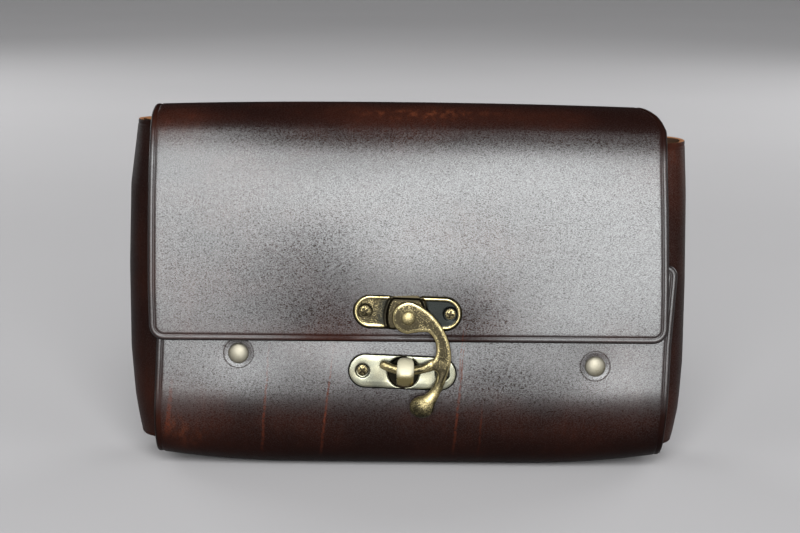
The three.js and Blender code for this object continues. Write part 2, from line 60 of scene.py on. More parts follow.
BACK_BEND_R = 13
ARCH_R = 17.86
PANEL_BEND_TURN = 36
FRONT_BEND_TURN = 60
BACK_BEND_TURN = 90
ARCH_TURN = 151
Stretch = namedtuple("Stretch", "name length turn step")
WRAP = [
    Stretch("panel_upper", 46, 2, 1.3),
    Stretch("panel_lower", PANEL_BEND_R * math.radians(PANEL_BEND_TURN), PANEL_BEND_TURN, 1.3),
    Stretch("front_bend", FRONT_BEND_R * math.radians(FRONT_BEND_TURN), FRONT_BEND_TURN, 1.4),
    Stretch("base", 19.5, 0, 4),
    Stretch("back_bend", BACK_BEND_R * math.radians(BACK_BEND_TURN), BACK_BEND_TURN, 1.7),
    Stretch("back", 102.5, 0, 4),
    Stretch("arch", ARCH_R * math.radians(ARCH_TURN), ARCH_TURN, 1.2),
    Stretch("shoulder", 30, 15, 1.4),
    Stretch("flap", 47.3, 9, 1.3),
]


class SidePath:
    """A strip's outer face from the side. Heading 0 runs down, 90 to the back, 180 up, 270 to the front."""

    def __init__(self, stretches, y, z, heading):
        self.stretches = stretches
        lengths = np.array([stretch.length for stretch in stretches], float)
        self.starts = np.concatenate([[0], np.cumsum(lengths)[:-1]])
        self.length = lengths.sum()
        self.bends = np.radians([stretch.turn for stretch in stretches]) / lengths
        self.corners = np.zeros((len(stretches), 3))
        self.corners[0] = y, z, math.radians(heading)
        for i in range(1, len(stretches)):
            self.corners[i] = self.walk(i - 1, lengths[i - 1])

    def walk(self, i, run):
        y, z, heading = self.corners[i].T
        half_turn = self.bends[i] * run / 2
        chord = run * np.sinc(half_turn / np.pi)
        y = y + chord * np.sin(heading + half_turn)
        z = z - chord * np.cos(heading + half_turn)
        return y, z, heading + 2 * half_turn

    def stretch_at(self, along):
        found = np.searchsorted(self.starts, along, side="right") - 1
        return np.clip(found, 0, len(self.stretches) - 1)

    def point(self, along, out=0.0):
        i = self.stretch_at(along)
        y, z, heading = self.walk(i, along - self.starts[i])
        return y - out * np.cos(heading), z - out * np.sin(heading), heading

    def mark(self, name, share):
        i = [stretch.name for stretch in self.stretches].index(name)
        return self.starts[i] + share * self.stretches[i].length


loose_wrap = SidePath(WRAP, 0, 0, PANEL_HEADING)
loose_base_z = loose_wrap.point(loose_wrap.mark("base", 0))[1]
loose_back_y = loose_wrap.point(loose_wrap.mark("back", 0))[0]
wrap_path = SidePath(WRAP, BACK_Y - loose_back_y, -loose_base_z, PANEL_HEADING)
CREST_SHARE = 90 / ARCH_TURN
CREST = wrap_path.mark("arch", CREST_SHARE)
WRAP_TOP = wrap_path.point(CREST)[1]

# The strip's two long edges, cut a little askew, at marks along it.
Edge = namedtuple("Edge", "stretch share left right")
EDGES = [
    Edge("panel_upper", 0, -91, 98),
    Edge("panel_upper", 0.23, -91.3, 97.2),
    Edge("panel_upper", 0.65, -91.6, 95.7),
    Edge("panel_lower", 0.7, -92.8, 94.6),
    Edge("back", 0.4, -93.8, 92.5),
    Edge("back", 1, -94.2, 87.5),
    Edge("arch", 0.58, -94.3, 86.2),
    Edge("arch", 0.72, -94.6, 89.7),
    Edge("arch", 0.78, -94.8, 91.4),
    Edge("arch", 0.85, -94.9, 92.7),
    Edge("arch", 0.94, -94.9, 94),
    Edge("shoulder", 0.5, -94.8, 93.8),
    Edge("flap", 0.6, -94.4, 94.3),
    Edge("flap", 1, -93.8, 94.2),
]
edge_marks = [wrap_path.mark(edge.stretch, edge.share) for edge in EDGES]
STRIP_HALF = 94

# How the filled leather settles: the base's ends lift off the ground and the top's ends sink.
BASE_FLAT_HALF = 42
END_LIFT = 4
LIFT_HEIGHT = 40
TOP_SINK = 1.5
SINK_FROM = 90


def settled(x, y, z):
    aside = np.clip(np.abs(x) / STRIP_HALF, 0, 1)
    past_flat = np.clip((np.abs(x) - BASE_FLAT_HALF) / (STRIP_HALF - BASE_FLAT_HALF), 0, 1)
    low = np.clip(1 - z / LIFT_HEIGHT, 0, 1)
    high = np.clip((z - SINK_FROM) / (WRAP_TOP - SINK_FROM), 0, 1)
    lifted = z + END_LIFT * past_flat**2 * low - TOP_SINK * aside**2 * high
    return np.stack([x, y, lifted], axis=1)


# Where the front rivets sit, as x and the distance down the panel.
FRONT_RIVET_PLACES = {"left": (-61.7, 33.4), "right": (68.2, 37.2)}

# Broad dents and swells: where the clasp and the rivets pull the leather, and where the filling pushes it.
Dent = namedtuple("Dent", "stretch share x across along out")
DENTS = [
    Dent("arch", 0.84, -75, 40, 9, 0.8),
    Dent("flap", 0.14, -26, 36, 19, 2.6),
    Dent("flap", 0.36, 2, 28, 12, 1.1),
    Dent("flap", 0.55, 66, 26, 16, -0.5),
    Dent("panel_upper", 0.62, -30, 14, 12, 0.5),
    Dent("panel_upper", 0.73, FRONT_RIVET_PLACES["left"][0], 9, 9, -0.6),
    Dent("panel_upper", 0.81, FRONT_RIVET_PLACES["right"][0], 9, 9, -0.6),
    Dent("shoulder", 0.4, 40, 45, 12, 0.4),
]


def swell(x, along):
    out = np.zeros_like(x)
    for dent in DENTS:
        across = (x - dent.x) / dent.across
        down = (along - wrap_path.mark(dent.stretch, dent.share)) / dent.along
        out += dent.out * np.exp(-(across**2 + down**2) / 2)
    return out


def wrap_across(x, along):
    left = np.interp(along, edge_marks, [edge.left for edge in EDGES])
    right = np.interp(along, edge_marks, [edge.right for edge in EDGES])
    return left + (right - left) * (x + STRIP_HALF) / (2 * STRIP_HALF)


def wrap_surface(x, along):
    across = wrap_across(x, along)
    y, z, _ = wrap_path.point(along, swell(across, along))
    return settled(across, y, z)


# Round each front rivet the setting tool leaves a shallow dish, and a fine ring pressed in by its rim.
RING_R = 5.4
DISH_R = 3.2
DISH_PAST_RING = 0.3
DISH_DEPTH = 0.2


def smooth(low, high, value):
    """0 below low, 1 above high, and smooth from one to the other."""
    share = np.clip((value - low) / (high - low), 0, 1)
    return share * share * (3 - 2 * share)


def wrap_relief(x, along):
    across = wrap_across(x, along)
    height = np.zeros_like(across)
    for rivet_x, down in FRONT_RIVET_PLACES.values():
        distance = np.hypot(across - rivet_x, along - down)
        height -= DISH_DEPTH * (1 - smooth(DISH_R, RING_R + DISH_PAST_RING, distance))
    return height


# Spots where rubbing has brought the tan up through the dark finish.
Spot = namedtuple("Spot", "stretch share x across along strength")
WEAR_SPOTS = [
    Spot("arch", 0.82, 16, 26, 5, 0.6),
    Spot("arch", 0.84, -16, 18, 4, 0.28),
    Spot("arch", 0.86, -86, 10, 6, 0.5),
    Spot("panel_lower", 0.5, -84, 9, 10, 0.5),
    Spot("panel_lower", 0.95, -68, 24, 8, 0.34),
    Spot("front_bend", 0.05, 2, 26, 6, 0.2),
    Spot("front_bend", 0, 70, 18, 6, 0.15),
    Spot("flap", 0.97, -60, 40, 4, 0.35),
]


def spotted(across, along, spots):
    total = np.zeros_like(across)
    for spot in spots:
        aside = (across - spot.x) / spot.across
        down = (along - wrap_path.mark(spot.stretch, spot.share)) / spot.along
        total += spot.strength * np.exp(-(aside**2 + down**2) / 2)
    return total


def wrap_wear(x, along):
    return np.clip(spotted(wrap_across(x, along), along, WEAR_SPOTS), 0, 1)


# The polish is dulled along the wrap and in spots. At the base this is partly real wear; at the base, the
# foot of the panel, the top of the arch and beside the clasp it is painted shade. Spots of a strength below 0
# brighten the polish as painted sheen.
DullShadeMark = namedtuple("DullShadeMark", "stretch share dullness")
DULL_SHADE_MARKS = [
    DullShadeMark("panel_upper", 0.78, 0),
    DullShadeMark("panel_upper", 1, 0.25),
    DullShadeMark("panel_lower", 0.13, 0.18),
    DullShadeMark("panel_lower", 0.24, 0.21),
    DullShadeMark("panel_lower", 0.47, 0.58),
    DullShadeMark("panel_lower", 1, 0.92),
    DullShadeMark("base", 0, 1),
    DullShadeMark("base", 1, 1),
    DullShadeMark("back", 0.3, 0.2),
    DullShadeMark("arch", 0.45, 0.35),
    DullShadeMark("arch", 0.82, 0.6),
    DullShadeMark("arch", 0.93, 0.55),
    DullShadeMark("shoulder", 0.1, 0.5),
    DullShadeMark("shoulder", 0.32, 0),
]
# Spots of painted shade beside the clasp and over the flap, and, below 0, spots of painted sheen.
DULL_SHADE_SHEEN_SPOTS = [
    Spot("shoulder", 0.12, -86, 20, 8, -0.4),
    Spot("flap", 0.34, -32, 16, 12, 0.28),
    Spot("flap", 0.5, -66, 26, 16, 0.14),
    Spot("flap", 0.15, 22, 30, 14, 0.13),
    Spot("shoulder", 0.08, -25, 26, 5, 0.14),
    Spot("shoulder", 0.45, -55, 45, 9, -0.12),
    Spot("shoulder", 0.4, 50, 40, 8, -0.06),
    Spot("panel_upper", 0.7, 32, 16, 9, 0.2),
    Spot("flap", 0.9, -27, 15, 8.3, 0.45),
    Spot("flap", 0.84, 20, 12, 9, 0.5),
    Spot("flap", 0.57, -3, 15, 5, -0.17),
    Spot("panel_upper", 0.75, -80, 9, 9, 0.08),
    Spot("panel_upper", 0.78, -25, 5, 4, -0.2),
    Spot("panel_upper", 0.82, -53, 6, 5, -0.15),
    Spot("panel_upper", 0.95, 30, 14, 5, 0.13),
    Spot("panel_lower", 0.02, -8, 13, 3, 0.16),
    Spot("panel_lower", 0.35, -84, 9, 6, -0.32),
    Spot("panel_lower", 0.05, 84, 10, 8, -0.3),
]


def wrap_dullness_and_shade(x, along):
    marks = [wrap_path.mark(mark.stretch, mark.share) for mark in DULL_SHADE_MARKS]
    dullness = np.interp(along, marks, [mark.dullness for mark in DULL_SHADE_MARKS])
    return dullness + spotted(wrap_across(x, along), along, DULL_SHADE_SHEEN_SPOTS)


# A sheet lies flat as a grid inside a border of rings. Each ring has an inset from the cut edge and a depth
# below the outer face, so the rings from face to back draw the edge's own section.
Sheet = namedtuple("Sheet", "across along depth inset faces")
CORNER_TURNS = 6


def flat_sheet(across, along, rings, corner_radii):
    """A sheet from the places of its columns and rows, the rings of its border and its corners' radii."""
    band = rings[0][0]
    low_u, high_u = across[0] - band, across[-1] + band
    low_v, high_v = along[0] - band, along[-1] + band
    rows, columns = len(along), len(across)

    def ring_line(inset):
        sides = [
            (across, np.full(columns, low_v + inset)),
            (np.full(rows, high_u - inset), along),
            (across[::-1], np.full(columns, high_v - inset)),
            (np.full(rows, low_u + inset), along[::-1]),
        ]
        corners = [
            (high_u, low_v, -1, 1),
            (high_u, high_v, -1, -1),
            (low_u, high_v, 1, -1),
            (low_u, low_v, 1, 1),
        ]
        line = []
        for k, (u, v, to_u, to_v) in enumerate(corners):
            line.append(np.stack(sides[k], axis=1))
            r = max(corner_radii[k] - inset, 0)
            turn = np.radians(90 * k - 90 + 90 * (np.arange(CORNER_TURNS) + 0.5) / CORNER_TURNS)
            centre = np.array([u + to_u * (inset + r), v + to_v * (inset + r)])
            line.append(centre + r * np.stack([np.cos(turn), np.sin(turn)], axis=1))
        return np.concatenate(line)

    grid = np.stack([np.tile(across, rows), np.repeat(along, columns)], axis=1)
    index = np.arange(rows * columns).reshape(rows, columns)
    border = []
    for side in (index[0], index[:, -1], index[-1, ::-1], index[::-1, 0]):
        border += [*side, *[side[-1]] * CORNER_TURNS]
    border = np.array(border)
    lines = [ring_line(inset) for inset, _ in rings[1:-1]]
    flat = np.concatenate([grid, *lines, grid])
    count = len(border)
    first_ring = rows * columns
    back = first_ring + count * len(lines)
    loops = [border, *[first_ring + count * k + np.arange(count) for k in range(len(lines))], border + back]
    inner = rings[0][0] * np.ones(rows * columns)
    depth = np.concatenate([
        np.full(rows * columns, float(rings[0][1])),
        *[np.full(count, float(d)) for _, d in rings[1:-1]],
        np.full(rows * columns, float(rings[-1][1])),
    ])
    inset = np.concatenate([inner, *[np.full(count, float(i)) for i, _ in rings[1:-1]], inner])
    cells = np.stack([index[:-1, :-1], index[:-1, 1:], index[1:, 1:], index[1:, :-1]], axis=-1).reshape(-1, 4)
    faces = [*cells.tolist(), *(cells + back)[:, ::-1].tolist()]
    for near, far in zip(loops, loops[1:]):
        band_cells = np.stack([near, far, np.roll(far, -1), np.roll(near, -1)], axis=1).tolist()
        faces += [list(dict.fromkeys(cell)) for cell in band_cells]
    return Sheet(flat[:, 0], flat[:, 1], depth, inset, faces)


def bent(sheet, surface, relief=None):
    """A sheet's points once it is bent over a surface, which gives the outer face at across, along."""
    step = 0.05
    across = surface(sheet.across + step, sheet.along) - surface(sheet.across - step, sheet.along)
    down = surface(sheet.across, sheet.along + step) - surface(sheet.across, sheet.along - step)
    normal = np.cross(down, across)
    normal /= np.linalg.norm(normal, axis=1)[:, None]
    depth = sheet.depth.copy()
    if relief:
        outside = depth > depth.min() / 2
        depth[outside] += relief(sheet.across[outside], sheet.along[outside])
    return surface(sheet.across, sheet.along) + depth[:, None] * normal


WELD = 1e-7


def solid_piece(name, points, faces, finish, **values):
    """A closed piece from points in millimetres, with the values that its finish reads at each point."""
    mesh = bpy.data.meshes.new(name)
    mesh.from_pydata((np.asarray(points) * MM).tolist(), [], faces)
    for key, value in values.items():
        mesh.attributes.new(key, "FLOAT", "POINT").data.foreach_set("value", np.asarray(value, np.float32))
    whole = bmesh.new()
    whole.from_mesh(mesh)
    bmesh.ops.remove_doubles(whole, verts=whole.verts, dist=WELD)
    bmesh.ops.recalc_face_normals(whole, faces=whole.faces)
    whole.to_mesh(mesh)
    whole.free()
    mesh.shade_smooth()
    mesh.materials.append(finish)
    piece = bpy.data.objects.new(name, mesh)
    bpy.context.scene.collection.objects.link(piece)
    return piece


class Wire:
    """An output socket of a node tree. Arithmetic on it adds Math nodes, and node() adds any other kind."""

    def __init__(self, socket):
        self.socket = socket

    def node(self, kind, sockets=None, output=0, **settings):
        tree = self.socket.id_data
        made = tree.nodes.new(kind)
        for key, value in settings.items():
            setattr(made, key, value)
        for key, value in (sockets or {}).items():
            for each in value if isinstance(value, list) else [value]:
                if isinstance(each, Wire):
                    tree.links.new(each.socket, made.inputs[key])
                else:
                    made.inputs[key].default_value = each
        return Wire(made.outputs[output])

    def math(self, operation, *values):
        return self.node("ShaderNodeMath", dict(enumerate(values)), operation=operation)

    def __add__(self, other):
        return self.math("ADD", self, other)

    def __sub__(self, other):
        return self.math("SUBTRACT", self, other)

    def __rsub__(self, other):
        return self.math("SUBTRACT", other, self)

    def __mul__(self, other):
        return self.math("MULTIPLY", self, other)

    __radd__ = __add__
    __rmul__ = __mul__

    def between(self, low, high):
        """0 below low, 1 above high, and smooth from one to the other."""
        sockets = {"Value": self, "From Min": low, "From Max": high}
        return self.node("ShaderNodeMapRange", sockets, interpolation_type="SMOOTHSTEP")

    def mix(self, under, over):
        """Two colours mixed by this mask."""
        return self.node("ShaderNodeMix", {0: self, 6: under, 7: over}, output=2, data_type="RGBA")

    def stretched(self, x, y, z):
        """Coordinates drawn out along some axes."""
        return self.node("ShaderNodeVectorMath", {0: self, 1: (x, y, z)}, operation="MULTIPLY")

    def speckle(self, scale, detail, roughness):
        sockets = {"Vector": self, "Scale": scale, "Detail": detail, "Roughness": roughness}
        return self.node("ShaderNodeTexNoise", sockets, output="Fac")

    def value_of(self, attribute):
        return self.node("ShaderNodeAttribute", attribute_name=attribute, output="Fac")


def new_finish(name):
    """A material, its shader's inputs, and the object coordinates that its pattern reads."""
    finish = bpy.data.materials.new(name)
    finish.use_nodes = True
    nodes = finish.node_tree.nodes
    inputs = nodes["Principled BSDF"].inputs
    return finish, inputs, Wire(nodes.new("ShaderNodeTexCoord").outputs["Object"])


def join(wire, socket):
    wire.socket.id_data.links.new(wire.socket, socket)


# Grain and finish of the leather. The tan of the hide shows through where the dark finish is rubbed.
GRAIN_SCALE = 2800
GRAIN_LIE = (0.75, 1.5, 1.5)
GRAIN_DEPTH = 0.00005
PORE_SCALE = GRAIN_SCALE * 1.7
UNEVEN_SCALE = 260
PATCH_SCALE = 38
STREAK_SCALE = 420
FIBRE_SCALE = 2600
PIT_DULLNESS = 0.7
EDGE_DULLNESS = 0.6
CREASE_REACH = 3
POLISH_TINT = (0.955, 0.99, 1, 1)
BARE_SPECULAR = 0.025
DARK_BROWN = (0.0085, 0.0033, 0.0026, 1)
RED_BROWN = (0.046, 0.0125, 0.0066, 1)
RUBBED_TAN = (0.16, 0.045, 0.018, 1)
BURNISHED = (0.006, 0.0035, 0.003, 1)
FLESH_SIDE = (0.050, 0.028, 0.017, 1)
# A near-black that the leather is darkened towards as painted shade.
PAINTED_SHADE = (0.0025, 0.0012, 0.0011, 1)
FLESH_FIBRE = (0.080, 0.047, 0.029, 1)
CRACK_RED = (0.105, 0.027, 0.014, 1)

# The pressed rings and the wrinkles are thin lines, full in their core and fading to their sides.
LINE_CORE = 0.3
RING_LINE = 0.0003
ring_centres = []
for rivet_x, down in FRONT_RIVET_PLACES.values():
    middle_y, middle_z, _ = wrap_path.point(down, swell(np.float64(rivet_x), down))
    ring_centres.append((rivet_x * MM, middle_y * MM, middle_z * MM))


def ring_lines(place):
    """1 on the fine pressed ring round each front rivet."""
    lines = []
    for centre in ring_centres:
        away = place.node("ShaderNodeVectorMath", {0: place, 1: centre}, output="Value", operation="DISTANCE")
        off_ring = (away - RING_R * MM).math("ABSOLUTE", away - RING_R * MM)
        lines.append(1 - off_ring.between(RING_LINE * LINE_CORE, RING_LINE))
    return lines[0] + lines[1]


# Wrinkles run down the front panel. Along each the finish has cracked, so a thin red line shows.
Wrinkle = namedtuple("Wrinkle", "x_high x_low along_high along_low width strength")
WRINKLES = [
    Wrinkle(-50, -53.8, 24, 78, 0.8, 0.4),
    Wrinkle(-26.5, -32.5, 26, 80, 0.7, 0.5),
    Wrinkle(21.5, 16.4, 18, 80, 0.7, 0.45),
    Wrinkle(20.2, 18.6, 20, 44, 0.5, 0.4),
    Wrinkle(27.5, 26, 48, 76, 0.6, 0.25),
    Wrinkle(-85.5, -88.5, 40, 68, 1.4, 0.4),
]
WRINKLE_WANDER = 0.0016
WANDER_SCALE = 130
BREAK_SCALE = 700
RISE_END = 0.4
FALL_START = 0.8
FRONT_ONLY = (-0.018, -0.012)


def wrinkle_lines(place):
    """1 on the cracked lines of the panel's wrinkles."""
    split = {axis: place.node("ShaderNodeSeparateXYZ", {0: place}, output=axis) for axis in "XYZ"}
    wander = (place.stretched(0.3, 0.3, 1).speckle(WANDER_SCALE, 3, 0.6) - 0.5) * WRINKLE_WANDER
    total = split["X"] * 0.0
    for wrinkle in WRINKLES:
        high, low = (wrap_path.point(along)[1] * MM for along in (wrinkle.along_high, wrinkle.along_low))
        share = (high - split["Z"]) * (1 / (high - low))
        middle = share * ((wrinkle.x_low - wrinkle.x_high) * MM) + wrinkle.x_high * MM
        away = (split["X"] + wander - middle).math("ABSOLUTE", split["X"] + wander - middle)
        width = (share * 0.6 + 0.5) * (wrinkle.width * MM)
        line = 1 - away.between(width * LINE_CORE, width)
        run = share.between(0, RISE_END) * (1 - share.between(FALL_START, 1.0))
        total = total + line * run * wrinkle.strength
    broken = place.speckle(BREAK_SCALE, 3, 0.7).between(0.3, 0.6)
    return total * broken * (1 - split["Y"].between(*FRONT_ONLY))


def leather_finish(name, dark, red, edge_colour, edge_reach, roughness):
    """Leather in two coats: the polish takes the light, and shows less where it is dull and in the pores."""
    finish, shader, place = new_finish(name)
    wear = place.value_of("wear")
    flesh = place.value_of("flesh").between(0.4, 0.6)
    at_edge = 1 - place.value_of("inset").between(edge_reach * 0.5, edge_reach)
    ring = ring_lines(place)
    cracks = wrinkle_lines(place)

    mottle = place.stretched(0.6, 1, 1).speckle(PATCH_SCALE, 3, 0.55).between(0.42, 0.72)
    streaks = place.stretched(1, 1, 0.06).speckle(STREAK_SCALE, 3, 0.6).between(0.45, 0.75)
    fibre = place.speckle(FIBRE_SCALE, 3, 0.7)
    red_share = (mottle * 0.35 + wear * 0.75) * (0.6 + streaks * 0.4)
    tan_share = wear.between(0.45, 1.0) * streaks * 0.7
    face = tan_share.mix(red_share.mix(dark, red), RUBBED_TAN)
    face = cracks.mix(face, CRACK_RED)
    # Painted shade: where the polish is dulled past a half, at the base, the foot of the panel, the top of
    # the arch and over the gussets, the colour is darkened towards a near-black.
    painted_shade = place.value_of("dull").between(0.5, 0.95)
    face = (painted_shade * (1 - wear) * 0.8).mix(face, PAINTED_SHADE)
    face = at_edge.mix(face, edge_colour)
    colour = flesh.mix(face, fibre.mix(FLESH_SIDE, FLESH_FIBRE))

    lying = place.stretched(*GRAIN_LIE)
    cells = place.node("ShaderNodeTexVoronoi", {"Vector": lying, "Scale": GRAIN_SCALE}, feature="SMOOTH_F1")
    pores = lying.speckle(PORE_SCALE, 1, 0.6)
    uneven = place.speckle(UNEVEN_SCALE, 2, 0.5)
    height = cells * 0.5 + pores * 0.5 + uneven * 0.15 + fibre * flesh - ring * 1.2
    relief = {"Height": height, "Distance": GRAIN_DEPTH, "Strength": 1.0}
    grain = place.node("ShaderNodeBump", relief)
    shine = roughness + (pores - 0.5) * 0.1 + wear * 0.05 - at_edge * 0.04 + flesh * 0.45
    for socket, wire in (("Base Color", colour), ("Roughness", shine), ("Normal", grain)):
        join(wire, shader[socket])
    shader["Specular IOR Level"].default_value = 1.0
    shader["Specular Tint"].default_value = POLISH_TINT
    polish = Wire(finish.node_tree.nodes["Principled BSDF"].outputs["BSDF"])
    bare_sockets = {
        "Base Color": colour,
        "Roughness": shine + 0.1,
        "Normal": grain,
        "Specular IOR Level": BARE_SPECULAR,
    }
    bare = place.node("ShaderNodeBsdfPrincipled", bare_sockets)
    inside_edge = place.value_of("inset").between(CREASE_REACH * 0.7, CREASE_REACH) * 0.8 + 0.2
    pits = (cells * 0.7 + pores * 0.5).between(0.35, 0.85) * PIT_DULLNESS
    bare_share = place.value_of("dull") + pits * inside_edge + (1 - inside_edge) * EDGE_DULLNESS
    bare_share = bare_share + ring * 0.4 + cracks * 0.5 + flesh
    bare_share = bare_share.math("MINIMUM", bare_share, 1.0)
    coats = place.node("ShaderNodeMixShader", {0: bare_share, 1: polish, 2: bare})
    join(coats, finish.node_tree.nodes["Material Output"].inputs["Surface"])
    return finish


# Rows of an edge's section, from the outer face to the inner: inset from the cut and depth below the face.
BORDER = 6
BURNISHED_EDGE = [
    (BORDER, 0), (4.5, 0), (3.2, 0), (2.7, -0.02), (2.45, -0.12), (2.25, -0.26), (2.05, -0.26), (1.85, -0.12),
    (1.6, -0.01), (1.2, 0.03), (0.8, 0), (0.45, -0.14), (0.2, -0.38), (0.05, -0.72), (0, -1.1), (0.05, -1.5),
    (0.2, -1.84), (0.45, -2.06), (0.9, -2.2), (BORDER, -2.2),
]
FINE_STEP = 0.45
FINE_REACH = 6.6
COLUMN_STEP = 1.5


def spaced(start, stop, step_at):
    """Places from start to stop, each a step on from the last."""
    places = [start]
    while places[-1] < stop:
        places.append(places[-1] + step_at(places[-1]))
    places = np.array(places)
    return start + (places - start) * (stop - start) / (places[-1] - start)


def wrap_column_step(x):
    near = min(abs(x - rivet_x) for rivet_x, _ in FRONT_RIVET_PLACES.values())
    return FINE_STEP if near < FINE_REACH else COLUMN_STEP


def wrap_row_step(along):
    near = min(abs(along - down) for _, down in FRONT_RIVET_PLACES.values())
    return FINE_STEP if near < FINE_REACH else WRAP[wrap_path.stretch_at(along)].step


wrap_columns = spaced(-STRIP_HALF + BORDER, STRIP_HALF - BORDER, wrap_column_step)
wrap_rows = spaced(BORDER, wrap_path.length - BORDER, wrap_row_step)
PANEL_CORNER_R = 4.4
FLAP_CORNER_R = 5.4
wrap_corners = (PANEL_CORNER_R, FLAP_CORNER_R, FLAP_CORNER_R, PANEL_CORNER_R)
wrap_sheet = flat_sheet(wrap_columns, wrap_rows, BURNISHED_EDGE, wrap_corners)
strap_leather = leather_finish(
    "strap_leather", DARK_BROWN, RED_BROWN, BURNISHED, edge_reach=0.9, roughness=0.28
)


def is_flesh(sheet):
    return (sheet.depth < sheet.depth.min() * 0.9).astype(float)


wrap = solid_piece(
    "wrap_leather",
    bent(wrap_sheet, wrap_surface, wrap_relief),
    wrap_sheet.faces,
    strap_leather,
    wear=wrap_wear(wrap_sheet.across, wrap_sheet.along),
    dull=wrap_dullness_and_shade(wrap_sheet.across, wrap_sheet.along),
    flesh=is_flesh(wrap_sheet),
    inset=wrap_sheet.inset,
)
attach(wrap, "bag")
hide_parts("body_wrap")

# The gussets
# A U of softer leather closes each side, folded so that it bulges and flanged inside the front and the back.
# Its top and bottom are left as cut, so the tan of the hide shows along them.
GUSSET_LEATHER = 2
GUSSET_EDGE = 93
FLANGE_REACH = 36
FLANGE_STUB = 1.5
FLANGE_TAPER = 5
FRONT_FLANGE_TOP = 74
BACK_FLANGE_TOP = 115
FRONT_PULL = 7
BACK_PULL = 2.2
WALL_RUN = 58
WALL_STEP = 1.3
FLANGE_STEP = 4
GUSSET_ROWS = 78
GUSSET_CORNER_R = 2
Side = namedtuple("Side", "sign bottom top front_x back_x")
SIDES = {"left": Side(-1, 7.7, 128.3, 89, 89), "right": Side(1, 5.7, 121.8, 90, 84)}
BULGE_SHARES = [0, 0.13, 0.3, 0.55, 0.8, 1]
BULGES = {"left": [5.6, 8.2, 10.4, 11, 10.2, 6.9], "right": [5.2, 7.8, 9.5, 9.9, 9.6, 9]}


def inner_depth(height, start, end):
    """How far back a stretch of the wrap's inner face lies at a height."""
    y, z, _ = wrap_path.point(np.arange(start, end, 0.5), -LEATHER - GAP)
    order = np.argsort(z)
    return np.interp(height, z[order], y[order])


def gusset_front(height):
    panel_top = wrap_path.point(0.0, -LEATHER - GAP)[1]
    panel = inner_depth(height, 0, wrap_path.mark("base", 0))
    leaning = panel - np.maximum(0, height - panel_top) * math.tan(math.radians(PANEL_HEADING))
    return np.maximum(leaning, inner_depth(height, CREST, wrap_path.length))


def gusset_back(height):
    return inner_depth(height, wrap_path.mark("base", 1), CREST)


def flange_reach(height, top):
    return FLANGE_REACH + (FLANGE_STUB - FLANGE_REACH) * smooth(top - FLANGE_TAPER, top, height)


def gusset_surface(name):
    side = SIDES[name]

    def surface(across, down):
        height = side.top - down
        share = (height - side.bottom) / (side.top - side.bottom)
        front, back = gusset_front(height), gusset_back(height)
        out = GUSSET_EDGE + np.interp(share, BULGE_SHARES, BULGES[name])
        run = across if side.sign > 0 else 2 * FLANGE_REACH + WALL_RUN - across
        t = np.clip((run - FLANGE_REACH) / WALL_RUN, 0, 1)
        a, b, c, d = (1 - t) ** 3, 3 * t * (1 - t) ** 2, 3 * t * t * (1 - t), t**3
        x = a * side.front_x + b * (out + FRONT_PULL) + c * (out + BACK_PULL) + d * side.back_x
        y = (a + b) * front + (c + d) * back
        front_share = 1 - run / FLANGE_REACH
        x = np.where(front_share > 0, side.front_x - front_share * flange_reach(height, FRONT_FLANGE_TOP), x)
        back_share = (run - FLANGE_REACH - WALL_RUN) / FLANGE_REACH
        x = np.where(back_share > 0, side.back_x - back_share * flange_reach(height, BACK_FLANGE_TOP), x)
        return settled(side.sign * x, y, height)

    return surface


def gusset_column_step(across):
    return WALL_STEP if FLANGE_REACH < across < FLANGE_REACH + WALL_RUN else FLANGE_STEP


CUT_EDGE = [
    (BORDER, 0), (2.6, 0), (2.0, -0.04), (1.75, -0.14), (1.55, -0.14), (1.3, -0.04), (0.8, 0), (0.3, -0.02),
    (0.1, -0.1), (0, -0.3), (0, -1), (0, -1.75), (0.12, -1.95), (0.4, -2), (BORDER, -2),
]
GUSSET_DARK = (0.0100, 0.0040, 0.0030, 1)
GUSSET_RED = (0.060, 0.016, 0.0080, 1)
CUT_TAN = (0.34, 0.155, 0.070, 1)
# Both gussets are dulled past a half, which darkens them as painted shade, the left more than the right. The
# right gusset's top is lighter and redder as painted light.
GUSSET_DULLNESS_AND_SHADE = {"left": 0.85, "right": 0.72}
GUSSET_TOP_LIGHT = {"left": 0, "right": 0.42}
GUSSET_FOOT_WEAR = 0.3
GUSSET_WEAR = 0.12
gusset_leather = leather_finish(
    "gusset_leather", GUSSET_DARK, GUSSET_RED, CUT_TAN, edge_reach=0.09, roughness=0.36
)
gusset_columns = spaced(BORDER, 2 * FLANGE_REACH + WALL_RUN - BORDER, gusset_column_step)
for name, side in SIDES.items():
    drop = side.top - side.bottom
    gusset_rows = np.linspace(BORDER, drop - BORDER, GUSSET_ROWS)
    gusset_sheet = flat_sheet(gusset_columns, gusset_rows, CUT_EDGE, (GUSSET_CORNER_R,) * 4)
    share_down = gusset_sheet.along / drop
    worn_foot = GUSSET_FOOT_WEAR * smooth(0.55, 1, share_down)
    lit_top = GUSSET_TOP_LIGHT[name] * (1 - smooth(0, 0.45, share_down))
    gusset = solid_piece(
        f"gusset_leather_{name}",
        bent(gusset_sheet, gusset_surface(name)),
        gusset_sheet.faces,
        gusset_leather,
        wear=GUSSET_WEAR + worn_foot + lit_top,
        dull=np.full_like(share_down, GUSSET_DULLNESS_AND_SHADE[name]),
        flesh=is_flesh(gusset_sheet),
        inset=gusset_sheet.inset,
    )
    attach(gusset, "bag")
    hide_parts(f"gusset_{name}")

